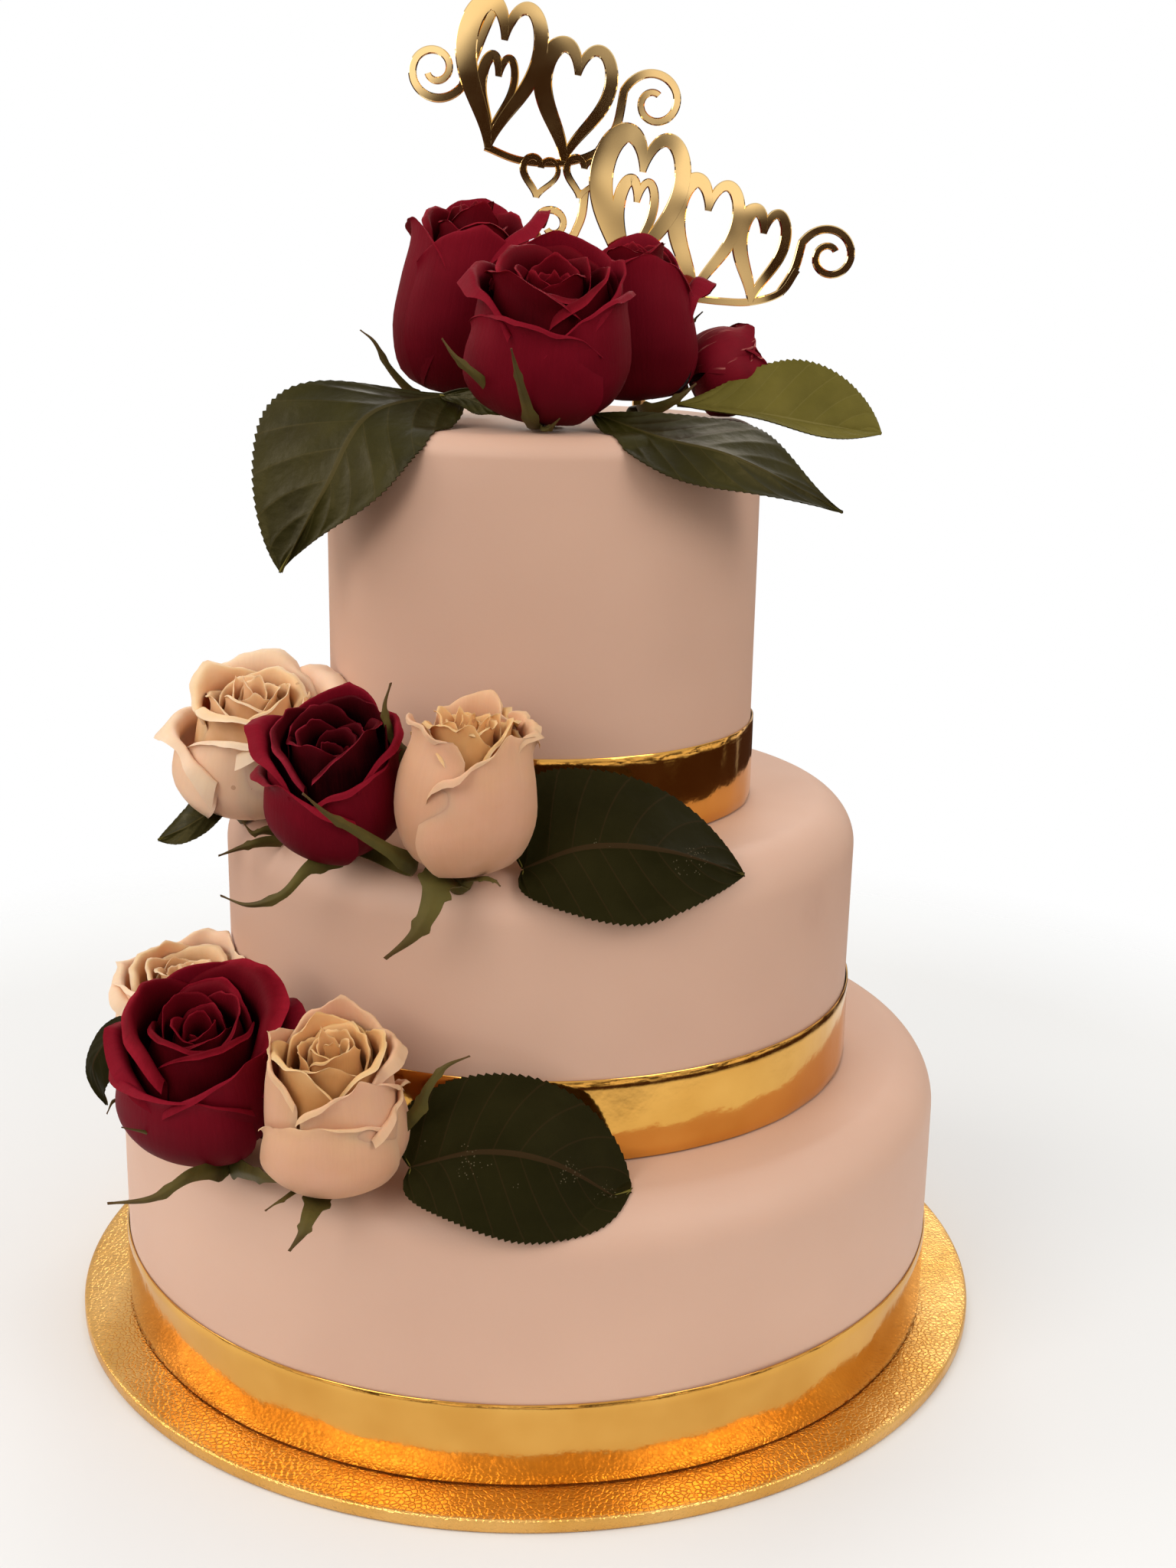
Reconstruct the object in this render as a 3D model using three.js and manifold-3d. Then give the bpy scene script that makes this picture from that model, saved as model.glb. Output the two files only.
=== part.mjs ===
// Tiered wedding cake on its foil board, in millimetres, +Z up, -Y towards the viewer.
// The origin is the centre of the board's underside.
import * as THREE from "three";
import { mergeVertices } from "three/addons/utils/BufferGeometryUtils.js";
import Module from "manifold-3d";

const wasm = await Module();
wasm.setup();

// Board and storeys, from the floor up; each storey rests on the one below with a little clear space
const GAP = 0.3;
const BOARD = { radius: 177.8, thickness: 5, bevel: 0.8, segments: 44 };
const TIERS = [
  { name: "bottom", x: -0.4, y: -0.1, radius: 158.8, height: 98.1, shoulder: 17, steps: 4 },
  { name: "middle", x: 2.9, y: -1.2, radius: 119.8, height: 100.3, shoulder: 17, steps: 4 },
  { name: "top", x: 2.4, y: -0.5, radius: 79.5, height: 138.7, shoulder: 8, steps: 3 },
];
const TIER_SEGMENTS = 38;
const RIBBON = { width: 30, thickness: 0.9, gap: 0.35, lift: 0.3, blend: 4 };

let level = BOARD.thickness;
for (const tier of TIERS) {
  tier.low = level + GAP;
  tier.top = tier.low + tier.height;
  level = tier.top;
}
const CAKE_TOP = level;

// Rolled bud in the heart of a flower, and the grid of one solid petal round it
const BUD = { segments: 8, reach: 0.78, inset: 1.8, space: 1.2 };
const BUD_WALL = [[0, 0.03], [0.88, 0.2], [1, 0.48], [0.9, 0.8]];
const BUD_HEART = [[0.46, 0.96], [0.28, 0.86], [0, 0.84]];
const PETAL = { columns: 4, rows: 3, foot: 0.16, middle: 0.2, wall: 1.6, drop: 0.3, space: 1.1 };

// An outer petal: turn in degrees (0 faces the viewer, 90 is right), rim height and reach against the
// flower's own, half angle, closing of the rim, flare of the lip, roll of the lip, curl of the corners,
// point in the middle of the rim, and how much higher its right corner is
const OUTER_PETAL = {
  tall: 0.95, reach: 1, spread: 62, close: 0.92, lip: 0.1, roll: 0.04, curl: 0.05, point: 0.02, skew: 0,
};
const NEST = 0.045;

// Outline of an outer petal from foot to rim, [radius, share of the lip, height] against the flower's own,
// then its rim, the droop of its corners, its middle point and the narrowing of its foot
const PETAL_WALL = [[0.12, 0, 0.02], [0.74, 0, 0.11], [1, 0, 0.36], [0.99, 0, 0.64]];
const PETAL_RIM = { start: 0.87, turn: 0.98, share: 0.3, fade: 0.5, bend: 0.6 };
const PETAL_CORNER = { square: 0.13, fourth: 0.1, peak: 1.3 };
const PETAL_CUSP = { power: 6, slope: 3 };
const PETAL_FOOT = { share: 0.62, height: 0.45 };

// Three sprays, each over the top of the storey of its name. A flower has its base, tip, radius, how open
// it is, height of the heart, turn of the spiral, outer petals from the inside out, and its sepals: half
// width and path from the cup to the tip. A leaf has its midrib from foot to tip, the reach of each half
// at foot, middle and tip, where it is widest and how round its foot is (less is rounder).
// The flowers that stand in front come first
const SPRAYS = [
  {
    name: "top",
    roses: [
      {
        name: "rose_top_centre", red: true, base: [3, -42, 6], tip: [4, -63, 60], radius: 29,
        open: 0.55, heart: 0.86, turn: 20,
        outer: [
          { turn: 170, tall: 0.94, lip: 0, close: 0.95, spread: 75 },
          { turn: 95, tall: 0.9, lip: 0.06, spread: 62 },
          { turn: -90, tall: 0.86, lip: 0.22, roll: 0.12, curl: 0.12 },
          { turn: 48, tall: 0.82, lip: 0.08, skew: 0.1, spread: 52 },
          { turn: -20, tall: 0.74, lip: 0.04, skew: -0.05, spread: 58 },
        ],
        sepals: [
          { half: 3, path: [[-1.5, -66, 1.5], [-5, -80, 12.5], [-7.5, -88, 22], [-9, -92, 28.5]] },
          { half: 3, path: [[-9.5, -58, 8], [-19.5, -70, 17.5], [-27.5, -72, 24.5], [-32, -70, 30.5]] },
          { half: 2.5, path: [[0.5, -66, 1], [3.5, -69, 2], [7, -70, 5.5]] },
        ],
      },
      {
        name: "rose_top_left", red: true, base: [-35, 3, 7], tip: [-22, -5, 77], radius: 24,
        open: 0.3, heart: 1, turn: 330,
        outer: [
          { turn: 175, tall: 0.98, lip: 0.06 },
          { turn: 75, tall: 0.98, lip: 0.3, point: 0.08, close: 0.9 },
          { turn: -70, tall: 0.84, lip: 0.12, roll: 0.02 },
          { turn: 10, tall: 0.88, lip: -0.04, roll: 0, spread: 56 },
        ],
        sepals: [
          {
            half: 2.6,
            path: [[-40, -6, 4.5], [-46, -16, 9.5], [-53, -22, 18], [-58, -24, 27], [-63, -22, 31]],
          },
        ],
      },
      {
        name: "rose_top_right", red: true, base: [36, -4, 6], tip: [31.5, -9, 65.5], radius: 23,
        open: 0.4, heart: 0.97, turn: 75,
        outer: [
          { turn: 170, tall: 0.98, lip: 0.05 },
          { turn: -90, tall: 0.95, lip: 0.06 },
          { turn: 92, tall: 0.72, lip: 0.38, roll: 0.1, point: 0.06, spread: 34 },
          { turn: 5, tall: 0.9, lip: 0.05, spread: 60 },
        ],
        sepals: [
          { half: 3.5, path: [[36, -28, 4.5], [43, -36, 7.5], [49.5, -38, 11.5], [54.5, -36, 15.5]] },
        ],
      },
      {
        name: "rose_top_side", red: true, base: [55, 8, 13], tip: [82, 13, 23], radius: 16.5,
        open: 0.25, heart: 0.95, turn: 10,
        outer: [
          { turn: 160, tall: 0.98, lip: 0.1 },
          { turn: -60, tall: 0.95, lip: 0.05, close: 0.8 },
          { turn: 40, tall: 1, lip: 0, close: 0.75 },
        ],
        sepals: [
          { half: 1.6, path: [[54.5, 4, 32.5], [55.5, 0, 36], [58.5, -2, 39]] },
        ],
      },
    ],
    leaves: [
      {
        name: "leaf_top_left", widest: 0.5, foot: 0.6,
        rib: [[-27.5, -34, 10.5], [-57, -52, 4.5], [-72, -60, -20.5], [-88, -56, -49.5]],
        left: [[18, -28, -16], [16, -16, -10], [-3, 8, -8]],
        right: [[-10, 10, 2], [-30, 21, 10], [-28, 14, -7]],
      },
      {
        name: "leaf_top_front", widest: 0.45, foot: 0.75,
        rib: [[18.5, -50, 5.5], [41, -70, -0.5], [66.5, -74, -6.5], [104, -60, -25]],
        left: [[2, 10, 5], [18, 24, 6.5], [12, 12, -2]],
        right: [[-12, -16, -3], [-2, -10, -11], [6, -10, -10]],
      },
      {
        name: "leaf_top_right", widest: 0.5, foot: 0.75,
        rib: [[49.5, -16, 6.5], [76.5, -12, 4], [102.5, -6, -0.5], [126, 0, -4]],
        left: [[-6, -13, 1], [-3.5, -15, -2], [2, -15, -5]],
        right: [[0, 7, 6], [3, 13, 20], [16, 18, 18]],
      },
      {
        name: "leaf_top_small", widest: 0.5, foot: 0.75,
        rib: [[-34, -38, 10], [-26, -46, 10], [-19, -52, 8], [-13, -57, 5.5]],
        left: [[2, -2, 3.5], [2, -2, 3.5], [2, -2, 3.5]],
        right: [[-2, -3, -2.5], [-2, -3, -2.5], [-2, -3, -2.5]],
      },
    ],
  },
  {
    name: "middle",
    roses: [
      {
        name: "rose_middle_front", red: false, base: [-24, -113, 1], tip: [-21, -118, 58], radius: 23,
        open: 0.45, heart: 0.97, turn: 5,
        outer: [
          { turn: 170, tall: 0.98, lip: 0.08, close: 0.88 },
          { turn: 100, tall: 0.93, lip: 0.14, close: 0.9 },
          { turn: -70, tall: 0.94, lip: 0, close: 0.82, skew: 0.06, spread: 70 },
          { turn: 28, tall: 0.86, lip: 0.04, close: 0.9, skew: 0.2, spread: 66 },
        ],
        sepals: [
          { half: 7, path: [[-30.5, -126, 3], [-33, -134, -4.5], [-38, -136, -13.5], [-47.5, -132, -23]] },
          { half: 2, path: [[-16.5, -128, 4], [-12.5, -134, 5], [-10.5, -136, 3.5]] },
        ],
      },
      {
        name: "rose_middle_red", red: true, base: [-65, -91, 6], tip: [-67, -113, 56], radius: 24.5,
        open: 0.7, heart: 0.7, turn: 350,
        outer: [
          { turn: 165, tall: 0.88, lip: 0.02, close: 1, point: 0.06, spread: 72 },
          { turn: 88, tall: 0.84, lip: 0.1, close: 1 },
          { turn: -95, tall: 0.84, lip: 0.25, roll: 0.06, point: 0.06 },
          { turn: 40, tall: 0.72, lip: 0.06, skew: 0.08 },
          { turn: -42, tall: 0.64, lip: 0.16, roll: 0.06, point: 0.05, skew: -0.03 },
        ],
        sepals: [
          {
            half: 3.6,
            path: [
              [-64, -104, 2], [-73, -114, 2], [-82, -118, -6.5], [-93.5, -114, -11.5], [-104, -106, -11],
            ],
          },
          {
            half: 3.4,
            path: [[-38, -116, 2], [-53.5, -129, 17.5], [-63.5, -138, 26.5], [-71.5, -141, 34.5]],
          },
          {
            half: 4.5,
            path: [[-42.5, -102, 31.5], [-46.5, -104, 45], [-48.5, -104, 53.5], [-47, -101, 61]],
          },
        ],
      },
      {
        name: "rose_middle_back", red: false, base: [-103.5, -40, 3], tip: [-99, -54, 51], radius: 27.5,
        open: 0.6, heart: 1.04, turn: 300,
        outer: [
          { turn: 175, tall: 0.95, reach: 1.15, lip: 0.25, spread: 58 },
          { turn: 120, tall: 0.95, reach: 1.2, lip: 0.35, roll: 0.06, spread: 50 },
          { turn: 60, tall: 0.93, reach: 1.05, lip: 0.25, roll: 0.08 },
          { turn: 10, tall: 0.8, lip: 0.12 },
          { turn: -78, tall: 0.62, lip: 0.36, roll: 0.3, spread: 62 },
        ],
        sepals: [
          { half: 3, path: [[-84.5, -62, -2], [-93, -70, 1], [-98, -72, 0.5], [-101.5, -70, 4]] },
          { half: 3.4, path: [[-82.5, -64, -3.5], [-93.5, -76, -1.5], [-101, -78, -3], [-109, -78, -6]] },
        ],
      },
    ],
    leaves: [
      {
        name: "leaf_middle_front", widest: 0.5, foot: 0.42,
        rib: [[-3.5, -114, 2], [18, -118, 11], [43, -116, 9.5], [71, -100, -3.5]],
        left: [[-22, 22, 27], [-6, 26, 18.5], [12, 32, 8]],
        right: [[-9, -11, -14], [0.5, -10, -23.5], [10, -3, -17]],
      },
      {
        name: "leaf_middle_small", widest: 0.5, foot: 0.75,
        rib: [[-107, -56, 6.5], [-113, -62, 5.5], [-121.5, -66, 1], [-132, -66, -4]],
        left: [[0.5, -5, -3], [0.5, -3.5, -5], [-0.5, -1.5, -8]],
        right: [[-1, 9, 3], [-3.5, 6.5, 5.5], [-6, 6, -2]],
      },
    ],
  },
  {
    name: "bottom",
    roses: [
      {
        name: "rose_bottom_front", red: false, base: [-63.5, -138, 5.6], tip: [-63.5, -149, 61.1], radius: 25,
        open: 0.5, heart: 0.95, turn: 10,
        outer: [
          { turn: 175, tall: 0.97, lip: 0.1 },
          { turn: 95, tall: 0.9, lip: 0.18, roll: 0.08, curl: 0.1 },
          { turn: -90, tall: 0.92, lip: 0.06 },
          { turn: 30, tall: 0.82, lip: 0.06, spread: 54 },
          { turn: 80, tall: 0.62, lip: 0.12, roll: 0.06, spread: 44 },
          { turn: -2, tall: 0.6, lip: 0.02, roll: 0.03, spread: 64, skew: 0.05 },
        ],
        sepals: [
          { half: 5, path: [[-67, -150, 4.1], [-69, -166, 5.1], [-71, -172, 1.1], [-75, -172, -4.9]] },
          { half: 2.6, path: [[-73.5, -148, 5.6], [-78.5, -162, 8.1], [-83, -166, 6.1]] },
          {
            half: 3,
            path: [[-38.5, -146, 28.6], [-33.5, -150, 40.1], [-27.5, -150, 48.1], [-19.5, -148, 51.1]],
          },
        ],
      },
      {
        name: "rose_bottom_red", red: true, base: [-111, -108, 6.6], tip: [-109, -131, 64.6], radius: 28.5,
        open: 0.7, heart: 0.82, turn: 340,
        outer: [
          { turn: 170, tall: 0.89, lip: 0.05, close: 1, spread: 70 },
          { turn: 105, tall: 0.78, reach: 1.2, lip: 0.34, point: 0.08, spread: 50 },
          { turn: -85, tall: 0.74, lip: 0.22, roll: 0.06, point: 0.08 },
          { turn: 45, tall: 0.78, lip: 0.08, skew: 0.06 },
          { turn: -25, tall: 0.66, lip: 0.12, roll: 0.05, spread: 70 },
        ],
        sepals: [
          {
            half: 4.2,
            path: [[-101, -124, 0.6], [-109, -148, 8.6], [-120.5, -154, 3.6], [-136, -150, -0.4]],
          },
          { half: 5.5, path: [[-100.5, -126, 2.1], [-88.5, -146, 7.6], [-77, -152, 8.6]] },
          { half: 2.2, path: [[-117.5, -122, 5.6], [-123, -138, 18.1], [-132, -142, 22.6]] },
        ],
      },
      {
        name: "rose_bottom_back", red: false, base: [-127, -47, 6.6], tip: [-126, -53, 48.6], radius: 26,
        open: 0.9, heart: 0.9, turn: 300,
        outer: [
          { turn: 150, tall: 1, lip: 0.2 },
          { turn: 90, tall: 1, lip: 0.25 },
          { turn: -90, tall: 0.85, lip: 0.3, roll: 0.1 },
          { turn: -30, tall: 0.9, lip: 0.2 },
        ],
        sepals: [
          {
            half: 2.5,
            path: [[-138.5, -62, -1.4], [-143.5, -72, -0.4], [-149, -78, 2.6], [-151.5, -80, -1.9]],
          },
        ],
      },
    ],
    leaves: [
      {
        name: "leaf_bottom_front", widest: 0.5, foot: 0.36,
        rib: [[-38.5, -150, 13.1], [-15, -156, 21.6], [8, -154, 16.6], [33, -140, -5.4]],
        left: [[-20, 20, 15], [0, 26, 16], [26, 36, 2]],
        right: [[-10, -10, -14], [-4, -8, -26], [7, -6, -29]],
      },
      {
        name: "leaf_bottom_left", widest: 0.5, foot: 0.6,
        rib: [[-145, -76, 33.1], [-150, -82, 27.1], [-154.5, -84, 17.6], [-150.5, -84, 3.6]],
        left: [[6, -4, -1], [7, -4.5, -5], [5, -6, -5]],
        right: [[-2, 12, 3], [-5, 5.5, -2], [-3, 1.5, -6]],
      },
    ],
  },
];

const LEAF = { thickness: 0.9, along: 7, across: 4, tipPower: 0.9, least: 0.035 };
const SMALL_LEAF = { reach: 20, thickness: 0.9, along: 5, across: 2 };
const SEPAL = {
  thickness: 1, along: 3, across: 2, root: 0.1, lean: 8, least: 0.12, shoulder: 0.4, full: 0.2, taper: 1.1,
};
const BLADE = { wave: 0.9, wavesAlong: 9, wavesAcross: 2.2, rim: 0.99, thinEdge: 0.55, space: 1.2 };
const CUP = { share: 0.2, least: 3.2, segments: 6, space: 1, root: -0.8 };
const CUP_PROFILE = [[0, -1.95], [0.6, -1.7], [1, -0.9], [0.75, -0.14], [0, -0.14]];

// Ornament: slim leaning hearts, two base lines, scrolls that wind inwards and two stakes, cut from one
// plate. Places are [x, height over the cake]
const ORNAMENT = {
  y: 29, thickness: 3, thin: 2.4, line: 2.8, stake: 5, lean: -9, swell: 1.5, lightSide: 0.7,
};
const HEARTS = [
  { x: -20, tip: 95, width: 27, height: 50, heavy: 8 },
  { x: -19.5, tip: 99, width: 12, height: 28, heavy: 4.2 },
  { x: 8, tip: 91, width: 25, height: 40, heavy: 7 },
  { x: 31, tip: 48, width: 30, height: 53, heavy: 9 },
  { x: 31.5, tip: 53, width: 13, height: 32, heavy: 5 },
  { x: 57, tip: 43, width: 23, height: 42, heavy: 7 },
  { x: 79, tip: 42, width: 17, height: 33, heavy: 6 },
  { x: -2, tip: 78, width: 13, height: 14, heavy: 2.8 },
  { x: 14, tip: 78, width: 13, height: 14, heavy: 2.8 },
];
const BASE_LINES = [
  [[-21, 95.5], [-8, 91], [8, 90.5], [21, 95], [28, 104]],
  [[30, 48.5], [44, 44.5], [57, 43], [68, 42], [79, 42], [90, 45.5], [96, 54]],
];
const SCROLLS = [
  {
    tail: [[-17, 145], [-22, 134], [-26, 124]], x: -39.3, z: 122,
    outer: 11.5, inner: 3, start: -30, end: -510,
  },
  {
    tail: [[21, 95], [27, 103]], x: 41, z: 112,
    outer: 12, inner: 3, start: -200, end: -660,
  },
  {
    tail: [[16, 81], [15, 72]], x: 4, z: 68.5,
    outer: 9, inner: 2.6, start: -20, end: -500,
  },
  {
    tail: [[90, 45.5], [95, 54]], x: 108, z: 59,
    outer: 11.5, inner: 3, start: -205, end: -680,
  },
];
const STAKES = [{ x: 4, top: 61 }, { x: 38, top: 46 }];
const STROKE_STEPS = { line: 7, tail: 2, curl: 13 };
const HEART_STEPS = { least: 3, each: 12 };

// Weights of the cosines that give a heart's height from notch to tip, and the height they add up to
const HEART_WAVES = [17, 13, -5, -2, -1];
const HEART_RISE = 29;

// Clear space cut between neighbours, from the widest; the last ones clear what still meets
const NEIGHBOUR_GAPS = [1, 0.5, 0, -0.5, -1];
const TOUCH = 0.1;

// Points this near are one, and how far below a storey's foot a petal or leaf still has to keep off it
const WELD = 0.001;
const OVERHANG = 6;

const LOOKS = {
  fondant: { color: 0xdcb9a3, roughness: 0.6, metalness: 0 },
  foil: { color: 0xd9a441, roughness: 0.2, metalness: 1 },
  board: { color: 0xd9a441, roughness: 0.35, metalness: 1 },
  mirror: { color: 0xe0b868, roughness: 0.1, metalness: 1 },
  red: { color: 0x6d0a1e, roughness: 0.7, metalness: 0 },
  cream: { color: 0xe8c39a, roughness: 0.7, metalness: 0 },
  green: { color: 0x4a4a22, roughness: 0.6, metalness: 0 },
  leaf: { color: 0x2b3018, roughness: 0.5, metalness: 0 },
};

const { degToRad, lerp, smoothstep } = THREE.MathUtils;
const smooth = (t) => smoothstep(t, 0, 1);
const vector = (list) => new THREE.Vector3(...list);

const curveThrough = (points) => new THREE.CatmullRomCurve3(points, false, "catmullrom");

// A placed geometry as a solid in the frame of the whole cake
function solidOf(geometry, place) {
  const bare = new THREE.BufferGeometry();
  bare.setAttribute("position", geometry.getAttribute("position").clone());
  bare.setIndex(geometry.getIndex());
  place.updateWorldMatrix(true, false);
  const merged = mergeVertices(bare.applyMatrix4(place.matrixWorld), WELD);
  const mesh = new wasm.Mesh({
    numProp: 3,
    vertProperties: new Float32Array(merged.getAttribute("position").array),
    triVerts: new Uint32Array(merged.getIndex().array),
  });
  return new wasm.Manifold(mesh);
}

// A solid's largest body as a geometry in the frame of its place: scraps and sealed hollows are dropped
function geometryOf(solid, place) {
  const bodies = solid.decompose().sort((a, b) => b.volume() - a.volume());
  const mesh = bodies[0].getMesh();
  const positions = [];
  for (let i = 0; i < mesh.vertProperties.length; i += mesh.numProp) {
    positions.push(...mesh.vertProperties.subarray(i, i + 3));
  }
  const geometry = new THREE.BufferGeometry();
  geometry.setAttribute("position", new THREE.Float32BufferAttribute(positions, 3));
  geometry.setIndex([...mesh.triVerts]);
  place.updateWorldMatrix(true, false);
  geometry.applyMatrix4(place.matrixWorld.clone().invert());
  geometry.computeVertexNormals();
  return geometry;
}

function meshOf(name, geometry, look) {
  const mesh = new THREE.Mesh(geometry, new THREE.MeshStandardMaterial(look));
  mesh.name = name;
  return mesh;
}

// Points round a grid, clockwise seen from its front
function rimOf(columns, rows) {
  const stride = columns + 1;
  const rim = [];
  for (let c = 0; c < columns; c += 1) rim.push(c);
  for (let r = 0; r < rows; r += 1) rim.push(r * stride + columns);
  for (let c = columns; c > 0; c -= 1) rim.push(rows * stride + c);
  for (let r = rows; r > 0; r -= 1) rim.push(r * stride);
  return rim;
}

// Closed body over a grid: a front, a back split into the same triangles, and the rim between them.
// Each face gives the point at u (across, -1 to 1) and v (0 to 1)
function sheetGeometry(columns, rows, front, back) {
  const grid = new THREE.PlaneGeometry(2, 1, columns, rows);
  const spots = grid.getAttribute("position");
  const count = spots.count;
  const points = [];
  for (const face of [front, back]) {
    for (let i = 0; i < count; i += 1) points.push(face(spots.getX(i), spots.getY(i) + 0.5));
  }
  const faces = [...grid.getIndex().array];
  const index = [...faces, ...faces.map((i) => i + count).reverse()];
  const rim = rimOf(columns, rows);
  rim.forEach((a, k) => {
    const b = rim[(k + 1) % rim.length];
    index.push(a, b, b + count, a, b + count, a + count);
  });
  const geometry = new THREE.BufferGeometry().setFromPoints(points);
  geometry.setIndex(index);
  return geometry;
}

// Closed body over a grid whose whole rim is drawn together in one point behind it
function wedgeGeometry(columns, rows, face, behind) {
  const grid = new THREE.PlaneGeometry(2, 1, columns, rows);
  const spots = grid.getAttribute("position");
  const points = [];
  for (let i = 0; i < spots.count; i += 1) points.push(face(spots.getX(i), spots.getY(i) + 0.5));
  const index = [...grid.getIndex().array];
  const rim = rimOf(columns, rows);
  rim.forEach((a, k) => index.push(a, rim[(k + 1) % rim.length], points.length));
  points.push(behind);
  const geometry = new THREE.BufferGeometry().setFromPoints(points);
  geometry.setIndex(index);
  return geometry;
}

// Solid of a sheet whichever way its front faces
function sheetSolid(place, columns, rows, front, back) {
  const solid = solidOf(sheetGeometry(columns, rows, front, back), place);
  return solid.volume() > 0 ? solid : solidOf(sheetGeometry(columns, rows, back, front), place);
}

// Moves a point of a placed object out of the tiers and ribbons, to at least a given clear space
function clearOfTiers(place, local, space) {
  const point = place.localToWorld(local.clone());
  for (const tier of TIERS) {
    const fromAxis = new THREE.Vector2(point.x - tier.x, point.y - tier.y);
    const reach = fromAxis.length();
    const bandTop = tier.low + RIBBON.lift + RIBBON.width;
    const band = RIBBON.gap + RIBBON.thickness;
    const radius = tier.radius + band * (1 - smooth((point.z - bandTop) / RIBBON.blend));
    const coreRadius = radius - tier.shoulder;
    const coreTop = tier.top - tier.shoulder;
    const out = Math.max(reach - coreRadius, 0);
    const up = Math.max(point.z - coreTop, 0);
    const outside = Math.hypot(out, up);
    const deep = Math.min(coreRadius - reach, coreTop - point.z);
    const distance = (outside > 0 ? outside : -deep) - tier.shoulder;
    if (point.z < tier.low - OVERHANG || distance >= space) continue;
    if (outside === 0) {
      point.z = tier.top + space;
      continue;
    }
    const push = (space - distance) / outside;
    fromAxis.setLength(push * out);
    point.x += fromAxis.x;
    point.y += fromAxis.y;
    point.z += push * up;
  }
  return place.worldToLocal(point);
}

// Turned geometry from [radius, height] pairs, with its axis along +Z
function turnedGeometry(profile, segments) {
  const points = profile.map(([radius, height]) => new THREE.Vector2(radius, height));
  return new THREE.LatheGeometry(points, segments).rotateX(Math.PI / 2);
}

function boardGeometry() {
  const { radius, thickness, bevel, segments } = BOARD;
  const profile = [
    [0, 0],
    [radius - bevel, 0],
    [radius, bevel],
    [radius, thickness - bevel],
    [radius - bevel, thickness],
    [0, thickness],
  ];
  return turnedGeometry(profile, segments);
}

// Straight wall, rounded shoulder, flat top
function tierGeometry({ radius, height, shoulder, steps }) {
  const profile = [[0, 0], [radius, 0]];
  for (let i = 0; i <= steps; i += 1) {
    const angle = ((i / steps) * Math.PI) / 2;
    profile.push([radius - shoulder * (1 - Math.cos(angle)), height - shoulder * (1 - Math.sin(angle))]);
  }
  profile.push([0, height]);
  return turnedGeometry(profile, TIER_SEGMENTS);
}

function ribbonGeometry({ radius }) {
  const inner = radius + RIBBON.gap;
  const outer = inner + RIBBON.thickness;
  const low = RIBBON.lift;
  const high = low + RIBBON.width;
  const profile = [[inner, low], [outer, low], [outer, high], [inner, high], [inner, low]];
  return turnedGeometry(profile, TIER_SEGMENTS);
}

// Space that a tier's foot and its ribbon take up together
function footGeometry({ radius }) {
  const outer = radius + RIBBON.gap + RIBBON.thickness;
  const high = RIBBON.lift + RIBBON.width;
  return turnedGeometry([[0, 0], [outer, 0], [outer, high], [0, high]], TIER_SEGMENTS);
}

// Group of a flower: its +Z runs from base to tip and its +X faces the viewer
function flowerPlace(flower) {
  const axis = vector(flower.tip).sub(vector(flower.base)).normalize();
  const front = new THREE.Vector3(0, -1, 0).projectOnPlane(axis).normalize();
  const side = new THREE.Vector3().crossVectors(axis, front);
  const place = new THREE.Group();
  place.position.set(...flower.base);
  place.quaternion.setFromRotationMatrix(new THREE.Matrix4().makeBasis(front, side, axis));
  return place;
}

const heightOf = (flower) => vector(flower.base).distanceTo(vector(flower.tip));

// Outer petals with their defaults; those further in are a little smaller
function outerPetals(flower) {
  const last = flower.outer.length - 1;
  return flower.outer.map((entry, k) => {
    const petal = { ...OUTER_PETAL, ...entry };
    petal.reach *= 1 - NEST * (last - k);
    return petal;
  });
}

// Radius, height and angle of a petal at u (across, -1 to 1) and v (base to rim)
function petalAt(flower, petal, u, v) {
  const { close, lip, roll, curl, point, skew } = petal;
  const profile = curveThrough([
    ...PETAL_WALL.map(vector),
    new THREE.Vector3(close, 0, PETAL_RIM.start),
    new THREE.Vector3(close, PETAL_RIM.share, PETAL_RIM.turn),
    new THREE.Vector3(close, 1, 1 - roll),
  ]).getPoint(v);
  const { square, fourth, peak } = PETAL_CORNER;
  const corner = square * u ** 2 + fourth * u ** 4 + peak * point * Math.abs(u) - skew * u;
  const cusp = point * v ** PETAL_CUSP.power * Math.max(0, 1 - PETAL_CUSP.slope * Math.abs(u));
  const flare = lip * (1 - PETAL_RIM.fade * u ** 2) * profile.y;
  const bend = curl * u ** 4 * smooth((v - PETAL_RIM.bend) / (1 - PETAL_RIM.bend));
  const share = lerp(PETAL_FOOT.share, 1, smooth(v / PETAL_FOOT.height));
  return {
    radius: flower.radius * petal.reach * (profile.x + flare + bend),
    rise: heightOf(flower) * petal.tall * (profile.z - smooth(v) * corner + cusp),
    angle: degToRad(petal.turn + u * petal.spread * share),
  };
}

// Point at an angle and radius round a flower's axis
function around(angle, radius, rise) {
  return new THREE.Vector3(radius * Math.cos(angle), radius * Math.sin(angle), rise);
}

// One outer petal. The last row of its grid is the thickness of the rim; behind it the petal is filled in
// down to the middle of the flower, so that it joins the bud
function petalSolid(flower, place, petal) {
  const { columns, rows, foot, middle, wall, drop, space } = PETAL;
  const face = (u, v) => {
    const height = (v * rows) / (rows - 1);
    const { radius, rise, angle } = petalAt(flower, petal, u, lerp(foot, 1, Math.min(height, 1)));
    const spot = height > 1 ? around(angle, radius - wall, rise - drop) : around(angle, radius, rise);
    return clearOfTiers(place, spot, space);
  };
  const behind = new THREE.Vector3(0, 0, middle * heightOf(flower));
  return solidOf(wedgeGeometry(columns, rows, face, behind), place);
}

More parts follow.
